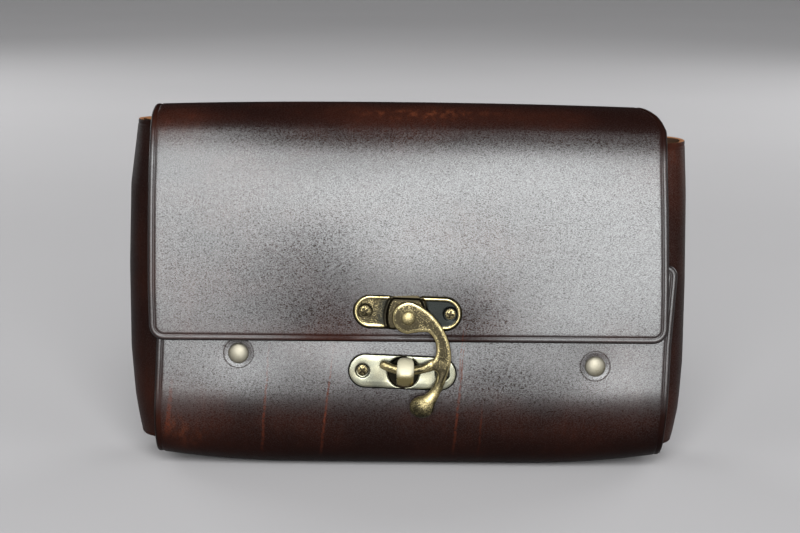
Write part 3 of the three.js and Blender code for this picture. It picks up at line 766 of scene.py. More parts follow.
# The belt loops
# Two short straps on the back take the belt. Each is a strip of the wrap's leather, a little thinner,
# held flat by a rivet through a tab at either end and standing off the back between them.
LOOP_LEATHER = 2
LOOP_X = 62
LOOP_WIDTH = 30
LOOP_BOTTOM = 23
LOOP_CORNER_R = 4
LOOP_COLUMNS = 12
LOOP_WEAR = 0.15
LOOP_RUB = 0.25
LOOP_RUB_REACH = 20
LOOP_DULLNESS = 0.2
LOOP = [
    Stretch("low_tab", 13, 0, 2),
    Stretch("lift", 8, -46, 1.2),
    Stretch("level", 8, 46, 1.2),
    Stretch("span", 34, 0, 3),
    Stretch("dip", 8, 46, 1.2),
    Stretch("land", 8, -46, 1.2),
    Stretch("high_tab", 13, 0, 2),
]


def bump(value, middle, reach):
    """1 at the middle, fading to either side over a reach."""
    return np.exp(-(((value - middle) / reach) ** 2))


loop_path = SidePath(LOOP, BACK_Y + GAP + LOOP_LEATHER, LOOP_BOTTOM, 180)
loop_edge = [(inset, depth * LOOP_LEATHER / LEATHER) for inset, depth in BURNISHED_EDGE]
loop_columns = np.linspace(BORDER - LOOP_WIDTH / 2, LOOP_WIDTH / 2 - BORDER, LOOP_COLUMNS)
loop_rows = spaced(BORDER, loop_path.length - BORDER, lambda along: LOOP[loop_path.stretch_at(along)].step)
for name, side in SIDES.items():

    def loop_surface(across, along, middle=side.sign * LOOP_X):
        y, z, _ = loop_path.point(along)
        return np.stack([middle + across, y, z], axis=1)

    loop_sheet = flat_sheet(loop_columns, loop_rows, loop_edge, (LOOP_CORNER_R,) * 4)
    loop = solid_piece(
        f"belt_loop_leather_{name}",
        bent(loop_sheet, loop_surface),
        loop_sheet.faces,
        strap_leather,
        wear=LOOP_WEAR + LOOP_RUB * bump(loop_sheet.along, loop_path.length / 2, LOOP_RUB_REACH),
        dull=np.full_like(loop_sheet.along, LOOP_DULLNESS),
        flesh=is_flesh(loop_sheet),
        inset=loop_sheet.inset,
    )
    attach(loop, "bag")
    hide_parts(f"belt_loop_{name}")

# The rivets
# Domed two-part rivets of pale brass hold the gussets' flanges to the front, and the belt loops to the back.
# Each is one turned form, cap, shank and foot, set on its place along the leather's own normal.
RIVET_CAP_R = 3.75
RIVET_CAP_RISE = 2.1
RIVET_RIM = 0.5
RIVET_SHANK_R = 1.5
RIVET_FOOT_R = 3.4
RIVET_FOOT = 0.9
FOOT_OVERLAP = 1.1
FOOT_DEPTH = LEATHER + GUSSET_LEATHER + 3 * GAP
BAR_SIDES = 24
DOME_RIM_FROM = -0.3
CRISP_ANGLE = 0.6
BRASS_WAVES = 0.00006
CLOUD_SCALE = 150
SATIN_ROUGHNESS = 0.3
MATTE_ROUGHNESS = 0.25
# Colours of painted light on the clasp: an ivory for the keeper's lit top, a golden brass for its shaded
# underside, and a dark blue as a painted reflection on the upper plate.
LIT_IVORY_BRASS = (0.42, 0.395, 0.285, 1)
SHADED_GOLDEN_BRASS = (0.27, 0.225, 0.105, 1)
PAINTED_BLUE_REFLECTION = (0.0085, 0.0108, 0.0115, 1)


def brass_finish(name, bright, dull, dark, roughness, patina, grain):
    """Brass whose hollows are darkened, with the bright metal showing where it is rubbed."""
    finish, shader, place = new_finish(name)
    rubbed, satin = place.value_of("rubbed"), place.value_of("satin")
    clouds = place.speckle(CLOUD_SCALE, 2, 0.5)
    flecks = place.speckle(grain, 2, 0.6)
    spots = (flecks - 0.5) * 1.1 + (clouds - 0.5) * 0.7
    # The tarnish mask darkens towards the dark colour: patina, and painted shade where a piece asks for it.
    tarnish_and_shade = (patina + spots - rubbed * 1.1).between(0.2, 0.8)
    metal = clouds.between(0.35, 0.65).mix(bright, dull)
    # Painted shade and reflection: a golden brass on shaded undersides and a dark blue painted reflection;
    # below, an ivory, less metallic coat stands in for lit tops as painted light.
    with_golden_shade = place.value_of("golden").mix(tarnish_and_shade.mix(metal, dark), SHADED_GOLDEN_BRASS)
    with_blue_reflection = place.value_of("blued").mix(with_golden_shade, PAINTED_BLUE_REFLECTION)
    join(satin.mix(with_blue_reflection, LIT_IVORY_BRASS), shader["Base Color"])
    join(1 - satin * 0.8, shader["Metallic"])
    shine = roughness + satin * SATIN_ROUGHNESS + place.value_of("matte") * MATTE_ROUGHNESS
    join(shine + tarnish_and_shade * 0.06 + (flecks - 0.5) * 0.08, shader["Roughness"])
    height = {"Height": flecks * 0.06 + clouds, "Distance": BRASS_WAVES, "Strength": 1.0}
    join(place.node("ShaderNodeBump", height), shader["Normal"])
    return finish


def node_form(name, sizes):
    """A Geometry Nodes tree with a named input for each size, and the wires of its inputs."""
    tree = bpy.data.node_groups.new(name, "GeometryNodeTree")
    tree.interface.new_socket("Geometry", in_out="OUTPUT", socket_type="NodeSocketGeometry")
    tree.interface.new_socket("Places", in_out="INPUT", socket_type="NodeSocketGeometry")
    tree.interface.new_socket("Metal", in_out="INPUT", socket_type="NodeSocketMaterial")
    for size in sizes:
        tree.interface.new_socket(size, in_out="INPUT", socket_type="NodeSocketFloat")
    opening = tree.nodes.new("NodeGroupInput")
    wires = {socket.name: Wire(socket) for socket in opening.outputs if socket.name}
    return tree, wires


def pressed_dome(wires, radius, rise, rim, segments=40):
    """A ball pressed flat from below into a cap: a low rim, then a dome."""
    rings = segments * 3 // 5
    ball_sizes = {"Segments": segments, "Rings": rings, "Radius": 1.0}
    ball = wires["Places"].node("GeometryNodeMeshUVSphere", ball_sizes)
    spot = wires["Places"].node("GeometryNodeInputPosition")
    split = {axis: spot.node("ShaderNodeSeparateXYZ", {0: spot}, output=axis) for axis in "XYZ"}
    edge = spot.node("ShaderNodeMapRange", {"Value": split["Z"], "From Min": DOME_RIM_FROM, "From Max": 0.0})
    height = edge * rim + split["Z"].math("MAXIMUM", split["Z"], 0.0) * (rise - rim)
    sockets = {"X": split["X"] * radius, "Y": split["Y"] * radius, "Z": height}
    pressed = spot.node("ShaderNodeCombineXYZ", sockets)
    return spot.node("GeometryNodeSetPosition", {"Geometry": ball, "Position": pressed})


def round_bar(wires, radius, length, low):
    """A plain shank from low upwards."""
    bar_sizes = {"Vertices": BAR_SIDES, "Radius": radius, "Depth": length}
    bar = wires["Places"].node("GeometryNodeMeshCylinder", bar_sizes)
    middle = wires["Places"].node("ShaderNodeCombineXYZ", {"Z": low + length * 0.5})
    return bar.node("GeometryNodeTransform", {"Geometry": bar, "Translation": middle})


def set_in_places(tree, wires, form):
    """Copies of a form on every place, along its facing, made one plain mesh of the given metal."""
    facing = form.node("GeometryNodeInputNamedAttribute", {"Name": "facing"}, data_type="FLOAT_VECTOR")
    aligned = form.node("FunctionNodeAlignRotationToVector", {"Vector": facing}, axis="Z")
    spin = form.node("GeometryNodeInputNamedAttribute", {"Name": "spin"}, data_type="FLOAT")
    about = form.node("ShaderNodeCombineXYZ", {"Z": spin})
    sockets = {"Rotation": aligned, "Rotate By": about}
    turned = form.node("FunctionNodeRotateRotation", sockets, rotation_space="LOCAL")
    sockets = {"Points": wires["Places"], "Instance": form, "Rotation": turned}
    copies = form.node("GeometryNodeInstanceOnPoints", sockets)
    plain = form.node("GeometryNodeRealizeInstances", {"Geometry": copies})
    angles = {0: form.node("GeometryNodeInputMeshEdgeAngle"), 1: CRISP_ANGLE}
    soft = form.node("FunctionNodeCompare", angles, data_type="FLOAT", operation="LESS_THAN")
    sockets = {"Geometry": plain, "Shade Smooth": soft}
    shaded = form.node("GeometryNodeSetShadeSmooth", sockets, domain="EDGE")
    dressed = form.node("GeometryNodeSetMaterial", {"Geometry": shaded, "Material": wires["Metal"]})
    closing = tree.nodes.new("NodeGroupOutput")
    tree.links.new(dressed.socket, closing.inputs["Geometry"])


def placed_copies(name, tree, metal, sizes, places):
    """A plain mesh of a tree's copies. Each place has a point, a facing and a spin in radians."""
    points, facings, spins = zip(*places)
    base = bpy.data.meshes.new(name + "_places")
    base.from_pydata([tuple(np.asarray(point) * MM) for point in points], [], [])
    base.attributes.new("facing", "FLOAT_VECTOR", "POINT").data.foreach_set("vector", np.ravel(facings))
    base.attributes.new("spin", "FLOAT", "POINT").data.foreach_set("value", spins)
    maker = bpy.data.objects.new(name + "_maker", base)
    bpy.context.scene.collection.objects.link(maker)
    modifier = maker.modifiers.new("copies", "NODES")
    modifier.node_group = tree
    for socket in tree.interface.items_tree:
        if socket.name in sizes:
            modifier[socket.identifier] = sizes[socket.name] * MM
        elif socket.name == "Metal":
            modifier[socket.identifier] = metal
    return settled_mesh(name, maker)


def settled_mesh(name, maker):
    """A new piece from what an object's modifiers make. The object goes."""
    bpy.context.view_layer.update()
    made = maker.evaluated_get(bpy.context.evaluated_depsgraph_get())
    mesh = bpy.data.meshes.new_from_object(made)
    mesh.name = name
    bpy.data.objects.remove(maker)
    piece = bpy.data.objects.new(name, mesh)
    bpy.context.scene.collection.objects.link(piece)
    return piece


RIVET_SIZES = {
    "Cap radius": RIVET_CAP_R,
    "Cap rise": RIVET_CAP_RISE,
    "Rim": RIVET_RIM,
    "Shank radius": RIVET_SHANK_R,
    "Foot radius": RIVET_FOOT_R,
    "Foot": RIVET_FOOT,
}
rivet_tree, rivet_wires = node_form("rivets", [*RIVET_SIZES, "Grip"])
rivet_cap = pressed_dome(rivet_wires, rivet_wires["Cap radius"], rivet_wires["Cap rise"], rivet_wires["Rim"])
rivet_reach = rivet_wires["Grip"] + rivet_wires["Rim"]
rivet_shank = round_bar(rivet_wires, rivet_wires["Shank radius"], rivet_reach, 0 - rivet_wires["Grip"])
foot_low = 0 - (rivet_wires["Grip"] + rivet_wires["Foot"])
rivet_foot = round_bar(rivet_wires, rivet_wires["Foot radius"], rivet_wires["Foot"] * FOOT_OVERLAP, foot_low)
rivet_form = rivet_cap.node(
    "GeometryNodeMeshBoolean", {"Mesh 2": [rivet_cap, rivet_shank, rivet_foot]}, operation="UNION"
)
set_in_places(rivet_tree, rivet_wires, rivet_form)


def rivet_place(x, along, out):
    y, z, heading = wrap_path.point(along, out + swell(np.float64(x), along))
    return (x, y, z), (0, -math.cos(heading), -math.sin(heading)), 0.0


PALE_BRASS = (0.250, 0.236, 0.188, 1)
SOFT_BRASS = (0.214, 0.199, 0.152, 1)
BROWN_TARNISH = (0.12, 0.10, 0.06, 1)
pale_brass = brass_finish(
    "pale_brass", PALE_BRASS, SOFT_BRASS, BROWN_TARNISH, roughness=0.55, patina=0.2, grain=1500
)
CAP_SINK = 0.2
front_seat = -CAP_SINK
front_places = [rivet_place(x, down, front_seat) for x, down in FRONT_RIVET_PLACES.values()]
front_sizes = {**RIVET_SIZES, "Grip": front_seat + FOOT_DEPTH}
front_rivets = placed_copies("front_rivets", rivet_tree, pale_brass, front_sizes, front_places)
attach(front_rivets, "bag")
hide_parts("rivet_front_left", "rivet_front_right")

back_seat = LOOP_LEATHER + 2 * GAP
back_start = wrap_path.mark("back", 0)
back_low_z = wrap_path.point(back_start)[1]
tab_heights = [loop_path.point(loop_path.mark(tab, 0.5))[1] for tab in ("low_tab", "high_tab")]
back_places = [
    rivet_place(sign * LOOP_X, back_start + height - back_low_z, back_seat)
    for sign in (-1, 1)
    for height in tab_heights
]
back_sizes = {**RIVET_SIZES, "Grip": back_seat + FOOT_DEPTH}
back_rivets = placed_copies("back_rivets", rivet_tree, pale_brass, back_sizes, back_places)
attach(back_rivets, "bag")
back_names = [f"rivet_back_{name}_{height}" for name in SIDES for height in ("low", "high")]
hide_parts(*back_names)

# The clasp's lower plate
# A stamped brass pill is screwed to the panel. It has a round eye, and a keeper band arches over the eye
# for the hook's prong. Heights in the clasp are measured from the hook's underside, along the hinge.
hinge = frame["joints"][0]
hinge_out = np.array(hinge["axis"], float)
hinge_up = np.cross(hinge_out, (1, 0, 0))
hinge_at = np.array(hinge["pos_m"], float) / MM
PLATE_LENGTH = 39.6
PLATE_WIDTH = 12.6
PLATE_THICK = 1.0
BRIDGE_RISE = 0.7
PRONG_R = 1.4
HOOK_THICK = 2.2
Plate = namedtuple("Plate", "x y tilt screw_x")
UPPER = Plate(-0.3, 1.5, -1.7, 15.4)
LOWER = Plate(-2, -20.6, -2, 14.5)


def on_clasp(points, x=0.0, y=0.0, height=0.0, tilt=0.0):
    """Points of a clasp piece in the bag's frame."""
    turn = math.radians(tilt)
    across = x + points[:, 0] * math.cos(turn) - points[:, 1] * math.sin(turn)
    up = y + points[:, 0] * math.sin(turn) + points[:, 1] * math.cos(turn)
    out = height + points[:, 2]
    return hinge_at + np.outer(across, (1, 0, 0)) + np.outer(up, hinge_up) + np.outer(out, hinge_out)


def on_plate(spots, plate):
    """Clasp points in a plate's own frame: along it and across it."""
    turn = math.radians(plate.tilt)
    aside, up = spots[:, 0] - plate.x, spots[:, 1] - plate.y
    return aside * math.cos(turn) + up * math.sin(turn), up * math.cos(turn) - aside * math.sin(turn)


def panel_height(drop):
    """The panel's outer face under the hook's plane, at a drop below the pivot."""
    y, z, _ = wrap_path.point(np.arange(0, 60, 0.5))
    offset = np.stack([np.zeros_like(y), y, z], axis=1) - hinge_at
    return np.interp(-drop, -(offset @ hinge_up), offset @ hinge_out)


def pill_outline(length, width, step):
    r = width / 2
    half = length / 2 - r
    turns = int(math.pi * r / step)
    runs = int(2 * half / step)
    turn = np.linspace(-np.pi / 2, np.pi / 2, turns, endpoint=False)
    run = np.linspace(half, -half, runs, endpoint=False)
    end = np.stack([half + r * np.cos(turn), r * np.sin(turn)], axis=1)
    side = np.stack([run, np.full(runs, r)], axis=1)
    return np.concatenate([end, side, -end, -side])


def pill_inset(x, y):
    """Distance in from the edge of a clasp plate."""
    past = np.maximum(np.abs(x) - (PLATE_LENGTH - PLATE_WIDTH) / 2, 0)
    return PLATE_WIDTH / 2 - np.hypot(past, y)


def pierced_plate(outline, hole_x, hole_y, hole_r, shares, top):
    """A plate's points and faces in rings from its outline to a round hole, with heights from top(x, y)."""
    centre = np.array([hole_x, hole_y])
    towards = (outline - centre) / np.linalg.norm(outline - centre, axis=1)[:, None]
    rim = centre + hole_r * towards
    rings = [outline + (rim - outline) * share for share in shares]
    points = [np.column_stack([ring, top(ring[:, 0], ring[:, 1])]) for ring in rings]
    points += [np.column_stack([ring, np.zeros(len(ring))]) for ring in (rim, outline)]
    count = len(outline)
    index = np.arange(count)
    faces = []
    for k in range(len(points)):
        near, far = index + count * k, index + count * ((k + 1) % len(points))
        faces += np.stack([near, np.roll(near, -1), np.roll(far, -1), far], axis=1).tolist()
    return np.concatenate(points), faces


def swept_bar(line, side, section_at, count=24):
    """A closed bar along a flat curve. Side is square to its plane, and each point's section gives offsets
    along the side and out of the curve."""
    tangent = np.gradient(line, axis=0)
    tangent /= np.linalg.norm(tangent, axis=1)[:, None]
    out = np.cross(tangent, side)
    turn = np.linspace(0, 2 * np.pi, count, endpoint=False)
    points = []
    for i, share in enumerate(np.linspace(0, 1, len(line))):
        aside, away = section_at(share, turn)
        points.append(line[i] + np.outer(aside, side) + np.outer(away, out[i]))
    faces = [list(range(count)), list(range(count * (len(line) - 1), count * len(line)))]
    index = np.arange(count)
    for k in range(len(line) - 1):
        near, far = index + count * k, index + count * (k + 1)
        faces += np.stack([near, np.roll(near, -1), np.roll(far, -1), far], axis=1).tolist()
    return np.concatenate(points), faces


def fused(name, parts, finish, voxel, passes):
    """Overlapping closed parts melted into one skin, as a cast piece is, with its joints rounded."""
    points, faces, first = [], [], 0
    for part_points, part_faces in parts:
        points.append(part_points)
        faces += [[corner + first for corner in face] for face in part_faces]
        first += len(part_points)
    maker = solid_piece(name + "_parts", np.concatenate(points), faces, finish)
    skin = maker.modifiers.new("skin", "REMESH")
    skin.mode = "VOXEL"
    skin.voxel_size = voxel * MM
    skin.use_smooth_shade = True
    ease = maker.modifiers.new("ease", "SMOOTH")
    ease.factor = 0.5
    ease.iterations = passes
    return settled_mesh(name, maker)


def turned_form(profile, count=48):
    """A form turned from rows of radius and height, from its low end on the axis to its high end on it."""
    turn = np.linspace(0, 2 * np.pi, count, endpoint=False)
    rings = [np.stack([r * np.cos(turn), r * np.sin(turn), np.full(count, h)], axis=1) for r, h in profile]
    index = np.arange(count)
    faces = []
    for k in range(len(profile) - 1):
        near, far = index + count * k, index + count * (k + 1)
        faces += np.stack([near, np.roll(near, -1), np.roll(far, -1), far], axis=1).tolist()
    return np.concatenate(rings), faces


EYE_X = 0.4
EYE_R = 5.6
EYE_FLOOR = 0.4
KEEPER_X = 1
KEEPER_Y = 0.2
KEEPER_HALF = 4.2
KEEPER_WIDTH = 6.3
KEEPER_BAND = 1.5
KEEPER_CLEAR = 0.5
KEEPER_END_WIDTH = 0.7
KEEPER_WIDENS = 0.3
KEEPER_CROWN = 0.35
LEG_STEPS = 14
ARCH_STEPS = 40
PLATE_STEP = 0.33
PLATE_WAVE = 0.05
EYE_LAP = 0.4
SCREW_HEAD_R = 2.0
DIMPLE_INNER_R = SCREW_HEAD_R + 0.35
DIMPLE_OUTER_R = SCREW_HEAD_R + 0.7
LOWER_DIMPLE = 0.5
lower_seat = panel_height(LOWER.y) + 2 * GAP

# Rows of a profile: the distance in from an edge, and the height there.
LOWER_RIM = [(0, -0.5), (0.15, -0.26), (0.5, -0.1), (1.1, -0.02), (2.4, 0.03)]
EYE_LIP = [(0, -0.4), (0.25, -0.16), (0.8, -0.03), (1.8, 0)]


def profile_at(rows, inset):
    return np.interp(inset, *zip(*rows))


def crowded_shares(count, power):
    """Shares of the way from a plate's edge to its hole, closer together at the edge."""
    return np.linspace(0, 1, count) ** power


def screw_dimple(x, y, screw_x, depth):
    distance = np.minimum(np.hypot(x - screw_x, y), np.hypot(x + screw_x, y))
    return depth * (1 - smooth(DIMPLE_INNER_R, DIMPLE_OUTER_R, distance))


def lower_top(x, y):
    inset = pill_inset(x, y)
    from_eye = np.hypot(x - EYE_X, y) - EYE_R
    height = profile_at(LOWER_RIM, inset) + profile_at(EYE_LIP, from_eye)
    height += PLATE_WAVE * np.sin(0.55 * x + 0.4) * np.cos(0.5 * y)
    return PLATE_THICK + height - screw_dimple(x, y, LOWER.screw_x, LOWER_DIMPLE)


plate_outline = pill_outline(PLATE_LENGTH, PLATE_WIDTH, PLATE_STEP)
lower_shares = crowded_shares(count=56, power=1.15)
lower_points, lower_faces = pierced_plate(plate_outline, EYE_X, 0, EYE_R, lower_shares, lower_top)
lower_points = on_clasp(lower_points, LOWER.x, LOWER.y, lower_seat, LOWER.tilt)

keeper_top = HOOK_THICK / 2 + PRONG_R + KEEPER_CLEAR + KEEPER_BAND / 2 - lower_seat
leg = np.linspace(EYE_FLOOR / 2, keeper_top - KEEPER_HALF, LEG_STEPS, endpoint=False)
arch_turn = np.linspace(0, np.pi, ARCH_STEPS)
keeper_line = np.concatenate([
    np.stack([np.zeros_like(leg), np.full_like(leg, KEEPER_HALF), leg], axis=1),
    np.stack([
        np.zeros_like(arch_turn),
        KEEPER_HALF * np.cos(arch_turn),
        keeper_top - KEEPER_HALF + KEEPER_HALF * np.sin(arch_turn),
    ], axis=1),
    np.stack([np.zeros_like(leg), np.full_like(leg, -KEEPER_HALF), leg[::-1]], axis=1),
])


def keeper_section(share, turn):
    """A strap with rounded edges and a slight crown, widest at the top of its arch."""
    half = KEEPER_WIDTH / 2 * (KEEPER_END_WIDTH + KEEPER_WIDENS * math.sin(math.pi * share))
    aside = half * np.sign(np.cos(turn)) * np.abs(np.cos(turn)) ** 0.45
    away = KEEPER_BAND / 2 * np.sign(np.sin(turn)) * np.abs(np.sin(turn)) ** 0.6
    crown = KEEPER_CROWN * (1 - (aside / half) ** 2)
    return aside, away + np.where(away > 0, crown, crown * 0.3)


keeper_points, keeper_faces = swept_bar(keeper_line, np.array([1.0, 0, 0]), keeper_section, count=32)
keeper_points = on_clasp(keeper_points + (KEEPER_X, KEEPER_Y, 0), LOWER.x, LOWER.y, lower_seat, LOWER.tilt)

# The dark patinas are real patina, and also painted shade where a piece is darkened in its eye, grooves and
# outline.
BRIGHT_BRASS = (0.48, 0.40, 0.205, 1)
OLIVE_BRASS = (0.36, 0.305, 0.155, 1)
DARK_PATINA_AND_SHADE = (0.020, 0.0168, 0.0100, 1)
WORN_BRASS = (0.215, 0.208, 0.15, 1)
GREENISH_BRASS = (0.155, 0.158, 0.122, 1)
BLACK_PATINA_AND_SHADE = (0.005, 0.0045, 0.003, 1)
worn_brass = brass_finish(
    "worn_brass", WORN_BRASS, GREENISH_BRASS, BLACK_PATINA_AND_SHADE, roughness=0.26, patina=0.18, grain=1300
)
aged_brass = brass_finish(
    "aged_brass", BRIGHT_BRASS, OLIVE_BRASS, DARK_PATINA_AND_SHADE, roughness=0.22, patina=0.72, grain=2500
)


def keep(piece, key, values):
    """Keeps at each point a value that the finish reads."""
    kept = piece.data.attributes.new(key, "FLOAT", "POINT")
    kept.data.foreach_set("value", np.asarray(values, np.float32))


def points_of(piece):
    """A clasp piece's points and normals in the clasp's own frame: across, up, out."""
    count = len(piece.data.vertices)
    spots, normals = np.empty(count * 3), np.empty(count * 3)
    piece.data.vertices.foreach_get("co", spots)
    piece.data.vertex_normals.foreach_get("vector", normals)
    axes = np.stack([(1, 0, 0), hinge_up, hinge_out], axis=1)
    return (spots.reshape(-1, 3) / MM - hinge_at) @ axes, normals.reshape(-1, 3) @ axes


eye_edge = EYE_R + EYE_LAP
eye_points, eye_faces = turned_form([(0, 0), (eye_edge, 0), (eye_edge, EYE_FLOOR), (0, EYE_FLOOR)])
eye_points = on_clasp(eye_points + (EYE_X, 0, 0), LOWER.x, LOWER.y, lower_seat, LOWER.tilt)
lower_parts = [(lower_points, lower_faces), (eye_points, eye_faces), (keeper_points, keeper_faces)]
lower_plate = fused("clasp_plate_bottom", lower_parts, worn_brass, voxel=0.16, passes=3)
spots, _ = points_of(lower_plate)
above_seat = spots[:, 2] - lower_seat
from_eye = np.hypot(spots[:, 0] - LOWER.x - EYE_X, spots[:, 1] - LOWER.y)
shaded_eye = (1 - smooth(EYE_R - 0.1, EYE_R + 0.3, from_eye)) * (1 - smooth(PLATE_THICK, 2.5, above_seat))
on_keeper = smooth(PLATE_THICK + 0.3, PLATE_THICK + 0.8, above_seat)
lower_inset = pill_inset(*on_plate(spots, LOWER))
rim_patina_and_shadow = (1 - smooth(0.25, 0.75, lower_inset)) * (1 - on_keeper)
# Painted shade: the eye's floor is darkened as the keeper's painted shadow in the hole, and the plate's rim
# as patina with a painted contact shadow.
keep(lower_plate, "rubbed", 0.3 + 0.4 * on_keeper - 1.5 * shaded_eye * (1 - on_keeper) - 1.3 * rim_patina_and_shadow)
# Painted light and shade on the keeper: its top is painted ivory and less metallic, its underside golden.
keeper_lit_top = smooth(-1.6, 2.2, spots[:, 1] - LOWER.y - KEEPER_Y)
keep(lower_plate, "satin", on_keeper * keeper_lit_top)
keep(lower_plate, "golden", on_keeper * (1 - keeper_lit_top))
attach(lower_plate, "bag")
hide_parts("clasp_plate_lower")

# The clasp's upper plate
# A like pill on the flap carries the hook. Its rim stands up, its face is sunk and darkened, and its middle
# is raised as a bridge that holds the hook clear of the screws.
BRIDGE_LEFT = -7.4
BRIDGE_RIGHT = 6.2
BRIDGE_BOW = 24
BRIDGE_SLOPE = 0.5
GROOVE_DEPTH = 0.25
UPPER_DIMPLE = 0.3
UPPER_RIM = [(0, -0.6), (0.2, -0.5), (0.55, -0.25), (0.9, -0.04), (1.15, 0), (1.5, -0.16), (1.9, -0.26)]
BRIDGE_ABOVE = [(0, -1.3), (0.9, -1.1), (1.5, -0.35), (2.2, 0)]
BRIDGE_BELOW = [(0, -0.7), (0.3, -0.2), (0.8, 0)]
upper_seat = -(PLATE_THICK + BRIDGE_RISE + GAP)


def into_bridge(x, y):
    """Distance in from the nearer end of the bridge. Its ends are bowed round the hook's head."""
    bow = (y + UPPER.y) ** 2 / BRIDGE_BOW
    return np.minimum(x - BRIDGE_LEFT - bow, BRIDGE_RIGHT - bow - x)


def upper_top(x, y):
    inset = pill_inset(x, y)
    inward = into_bridge(x, y)
    face = profile_at(UPPER_RIM, inset) - screw_dimple(x, y, UPPER.screw_x, UPPER_DIMPLE)
    face = face - GROOVE_DEPTH * bump(inward, -0.6, 0.7)
    bridge = BRIDGE_RISE + np.where(y > 0, profile_at(BRIDGE_ABOVE, inset), profile_at(BRIDGE_BELOW, inset))
    return PLATE_THICK + face + (bridge - face) * smooth(-BRIDGE_SLOPE, BRIDGE_SLOPE, inward)


PIVOT_HOLE_R = 1.5
upper_shares = crowded_shares(count=84, power=1.1)
upper_points, upper_faces = pierced_plate(
    plate_outline, -UPPER.x, -UPPER.y, PIVOT_HOLE_R, upper_shares, upper_top
)
upper_inset = pill_inset(upper_points[:, 0], upper_points[:, 1])
bridge_inward = into_bridge(upper_points[:, 0], upper_points[:, 1])
in_bridge = smooth(-0.5, 0.3, bridge_inward)
bridge_end = bump(bridge_inward, 0.35, 0.4) * smooth(1.2, 2.2, upper_inset)
in_groove = bump(bridge_inward, -0.5, 0.8)
by_groove = bump(bridge_inward, -2.2, 1.6) * smooth(1.4, 2.0, upper_inset)
above_bridge = in_bridge * (upper_points[:, 1] > 0) * (1 - smooth(1.4, 2.2, upper_inset))
on_right = smooth(BRIDGE_RIGHT, BRIDGE_RIGHT + 1, upper_points[:, 0]) * smooth(1.4, 2.0, upper_inset)
rim_shine = 0.45 * smooth(0.45, 0.9, upper_inset) * (1 - smooth(1.1, 2.2, upper_inset))
upper_edge = 1 - smooth(0.3, 0.75, upper_inset)
# Painted shade: the groove beside the bridge and the notch above it are darkened as painted shadow, the outer
# edge as patina with a painted contact shadow, and the right lobe as part of a painted reflection.
upper_patina_and_shade = 0.7 * upper_edge + 0.7 * in_groove + 0.8 * above_bridge + 0.4 * on_right + 0.1 * in_bridge
upper_plate = solid_piece(
    "clasp_plate_top",
    on_clasp(upper_points, UPPER.x, UPPER.y, upper_seat, UPPER.tilt),
    upper_faces,
    aged_brass,
    rubbed=rim_shine * (1 - in_bridge) + 0.35 * bridge_end - upper_patina_and_shade - 0.05,
    # The right lobe and the strip beside the groove take a painted blue reflection.
    blued=np.clip(0.8 * on_right + 0.55 * by_groove, 0, 0.8),
)
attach(upper_plate, "bag")
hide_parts("clasp_plate_upper")

# The screws
# Four small cross-head screws sit in dimples at the plates' ends and bite into the leather.
SCREW_HEAD = 0.4
SCREW_RIM = 0.15
SCREW_SEGMENTS = 96
SCREW_SHANK_R = 1
SCREW_SLOT = 0.65
SCREW_HEAD_RUBBED = 0.05
SCREW_HOLLOW_DARK = 2.0
SCREW_SLOT_LENGTH = 2.5
SCREW_SLOT_DEPTH = 0.3
SCREW_SIZES = {
    "Head radius": SCREW_HEAD_R,
    "Head": SCREW_HEAD,
    "Rim": SCREW_RIM,
    "Shank radius": SCREW_SHANK_R,
    "Shank": PLATE_THICK + LEATHER,
    "Slot": SCREW_SLOT,
    "Slot length": SCREW_SLOT_LENGTH,
    "Slot depth": SCREW_SLOT_DEPTH,
}
screw_tree, screw_wires = node_form("screws", SCREW_SIZES)
screw_head = pressed_dome(
    screw_wires, screw_wires["Head radius"], screw_wires["Head"], screw_wires["Rim"], SCREW_SEGMENTS
)
screw_reach = screw_wires["Shank"] + screw_wires["Rim"]
screw_shank = round_bar(screw_wires, screw_wires["Shank radius"], screw_reach, 0 - screw_wires["Shank"])
screw_parts = {"Mesh 2": [screw_head, screw_shank]}
screw_body = screw_head.node("GeometryNodeMeshBoolean", screw_parts, operation="UNION")
spot = screw_body.node("GeometryNodeInputPosition")
split = {axis: spot.node("ShaderNodeSeparateXYZ", {0: spot}, output=axis) for axis in "XYZ"}
aside = {axis: split[axis].math("ABSOLUTE", split[axis]) for axis in "XY"}
narrow = aside["X"].math("MINIMUM", aside["X"], aside["Y"])
long = aside["X"].math("MAXIMUM", aside["X"], aside["Y"])
slot_half, slot_end = screw_wires["Slot"] * 0.5, screw_wires["Slot length"] * 0.5
in_width = 1 - narrow.between(slot_half * 0.9, slot_half * 1.1)
in_length = 1 - long.between(slot_end * 0.95, slot_end)
in_cross = in_width * in_length
on_top = split["Z"].between(screw_wires["Rim"] * 0.5, screw_wires["Rim"])
pressed = {"X": split["X"], "Y": split["Y"], "Z": split["Z"] - in_cross * on_top * screw_wires["Slot depth"]}
pressed_place = spot.node("ShaderNodeCombineXYZ", pressed)
screw_form = spot.node("GeometryNodeSetPosition", {"Geometry": screw_body, "Position": pressed_place})
in_hollow = in_cross * SCREW_HOLLOW_DARK
screw_form = spot.node(
    "GeometryNodeStoreNamedAttribute",
    {"Geometry": screw_form, "Name": "rubbed", "Value": SCREW_HEAD_RUBBED - in_hollow},
    domain="POINT",
    data_type="FLOAT",
)
set_in_places(screw_tree, screw_wires, screw_form)

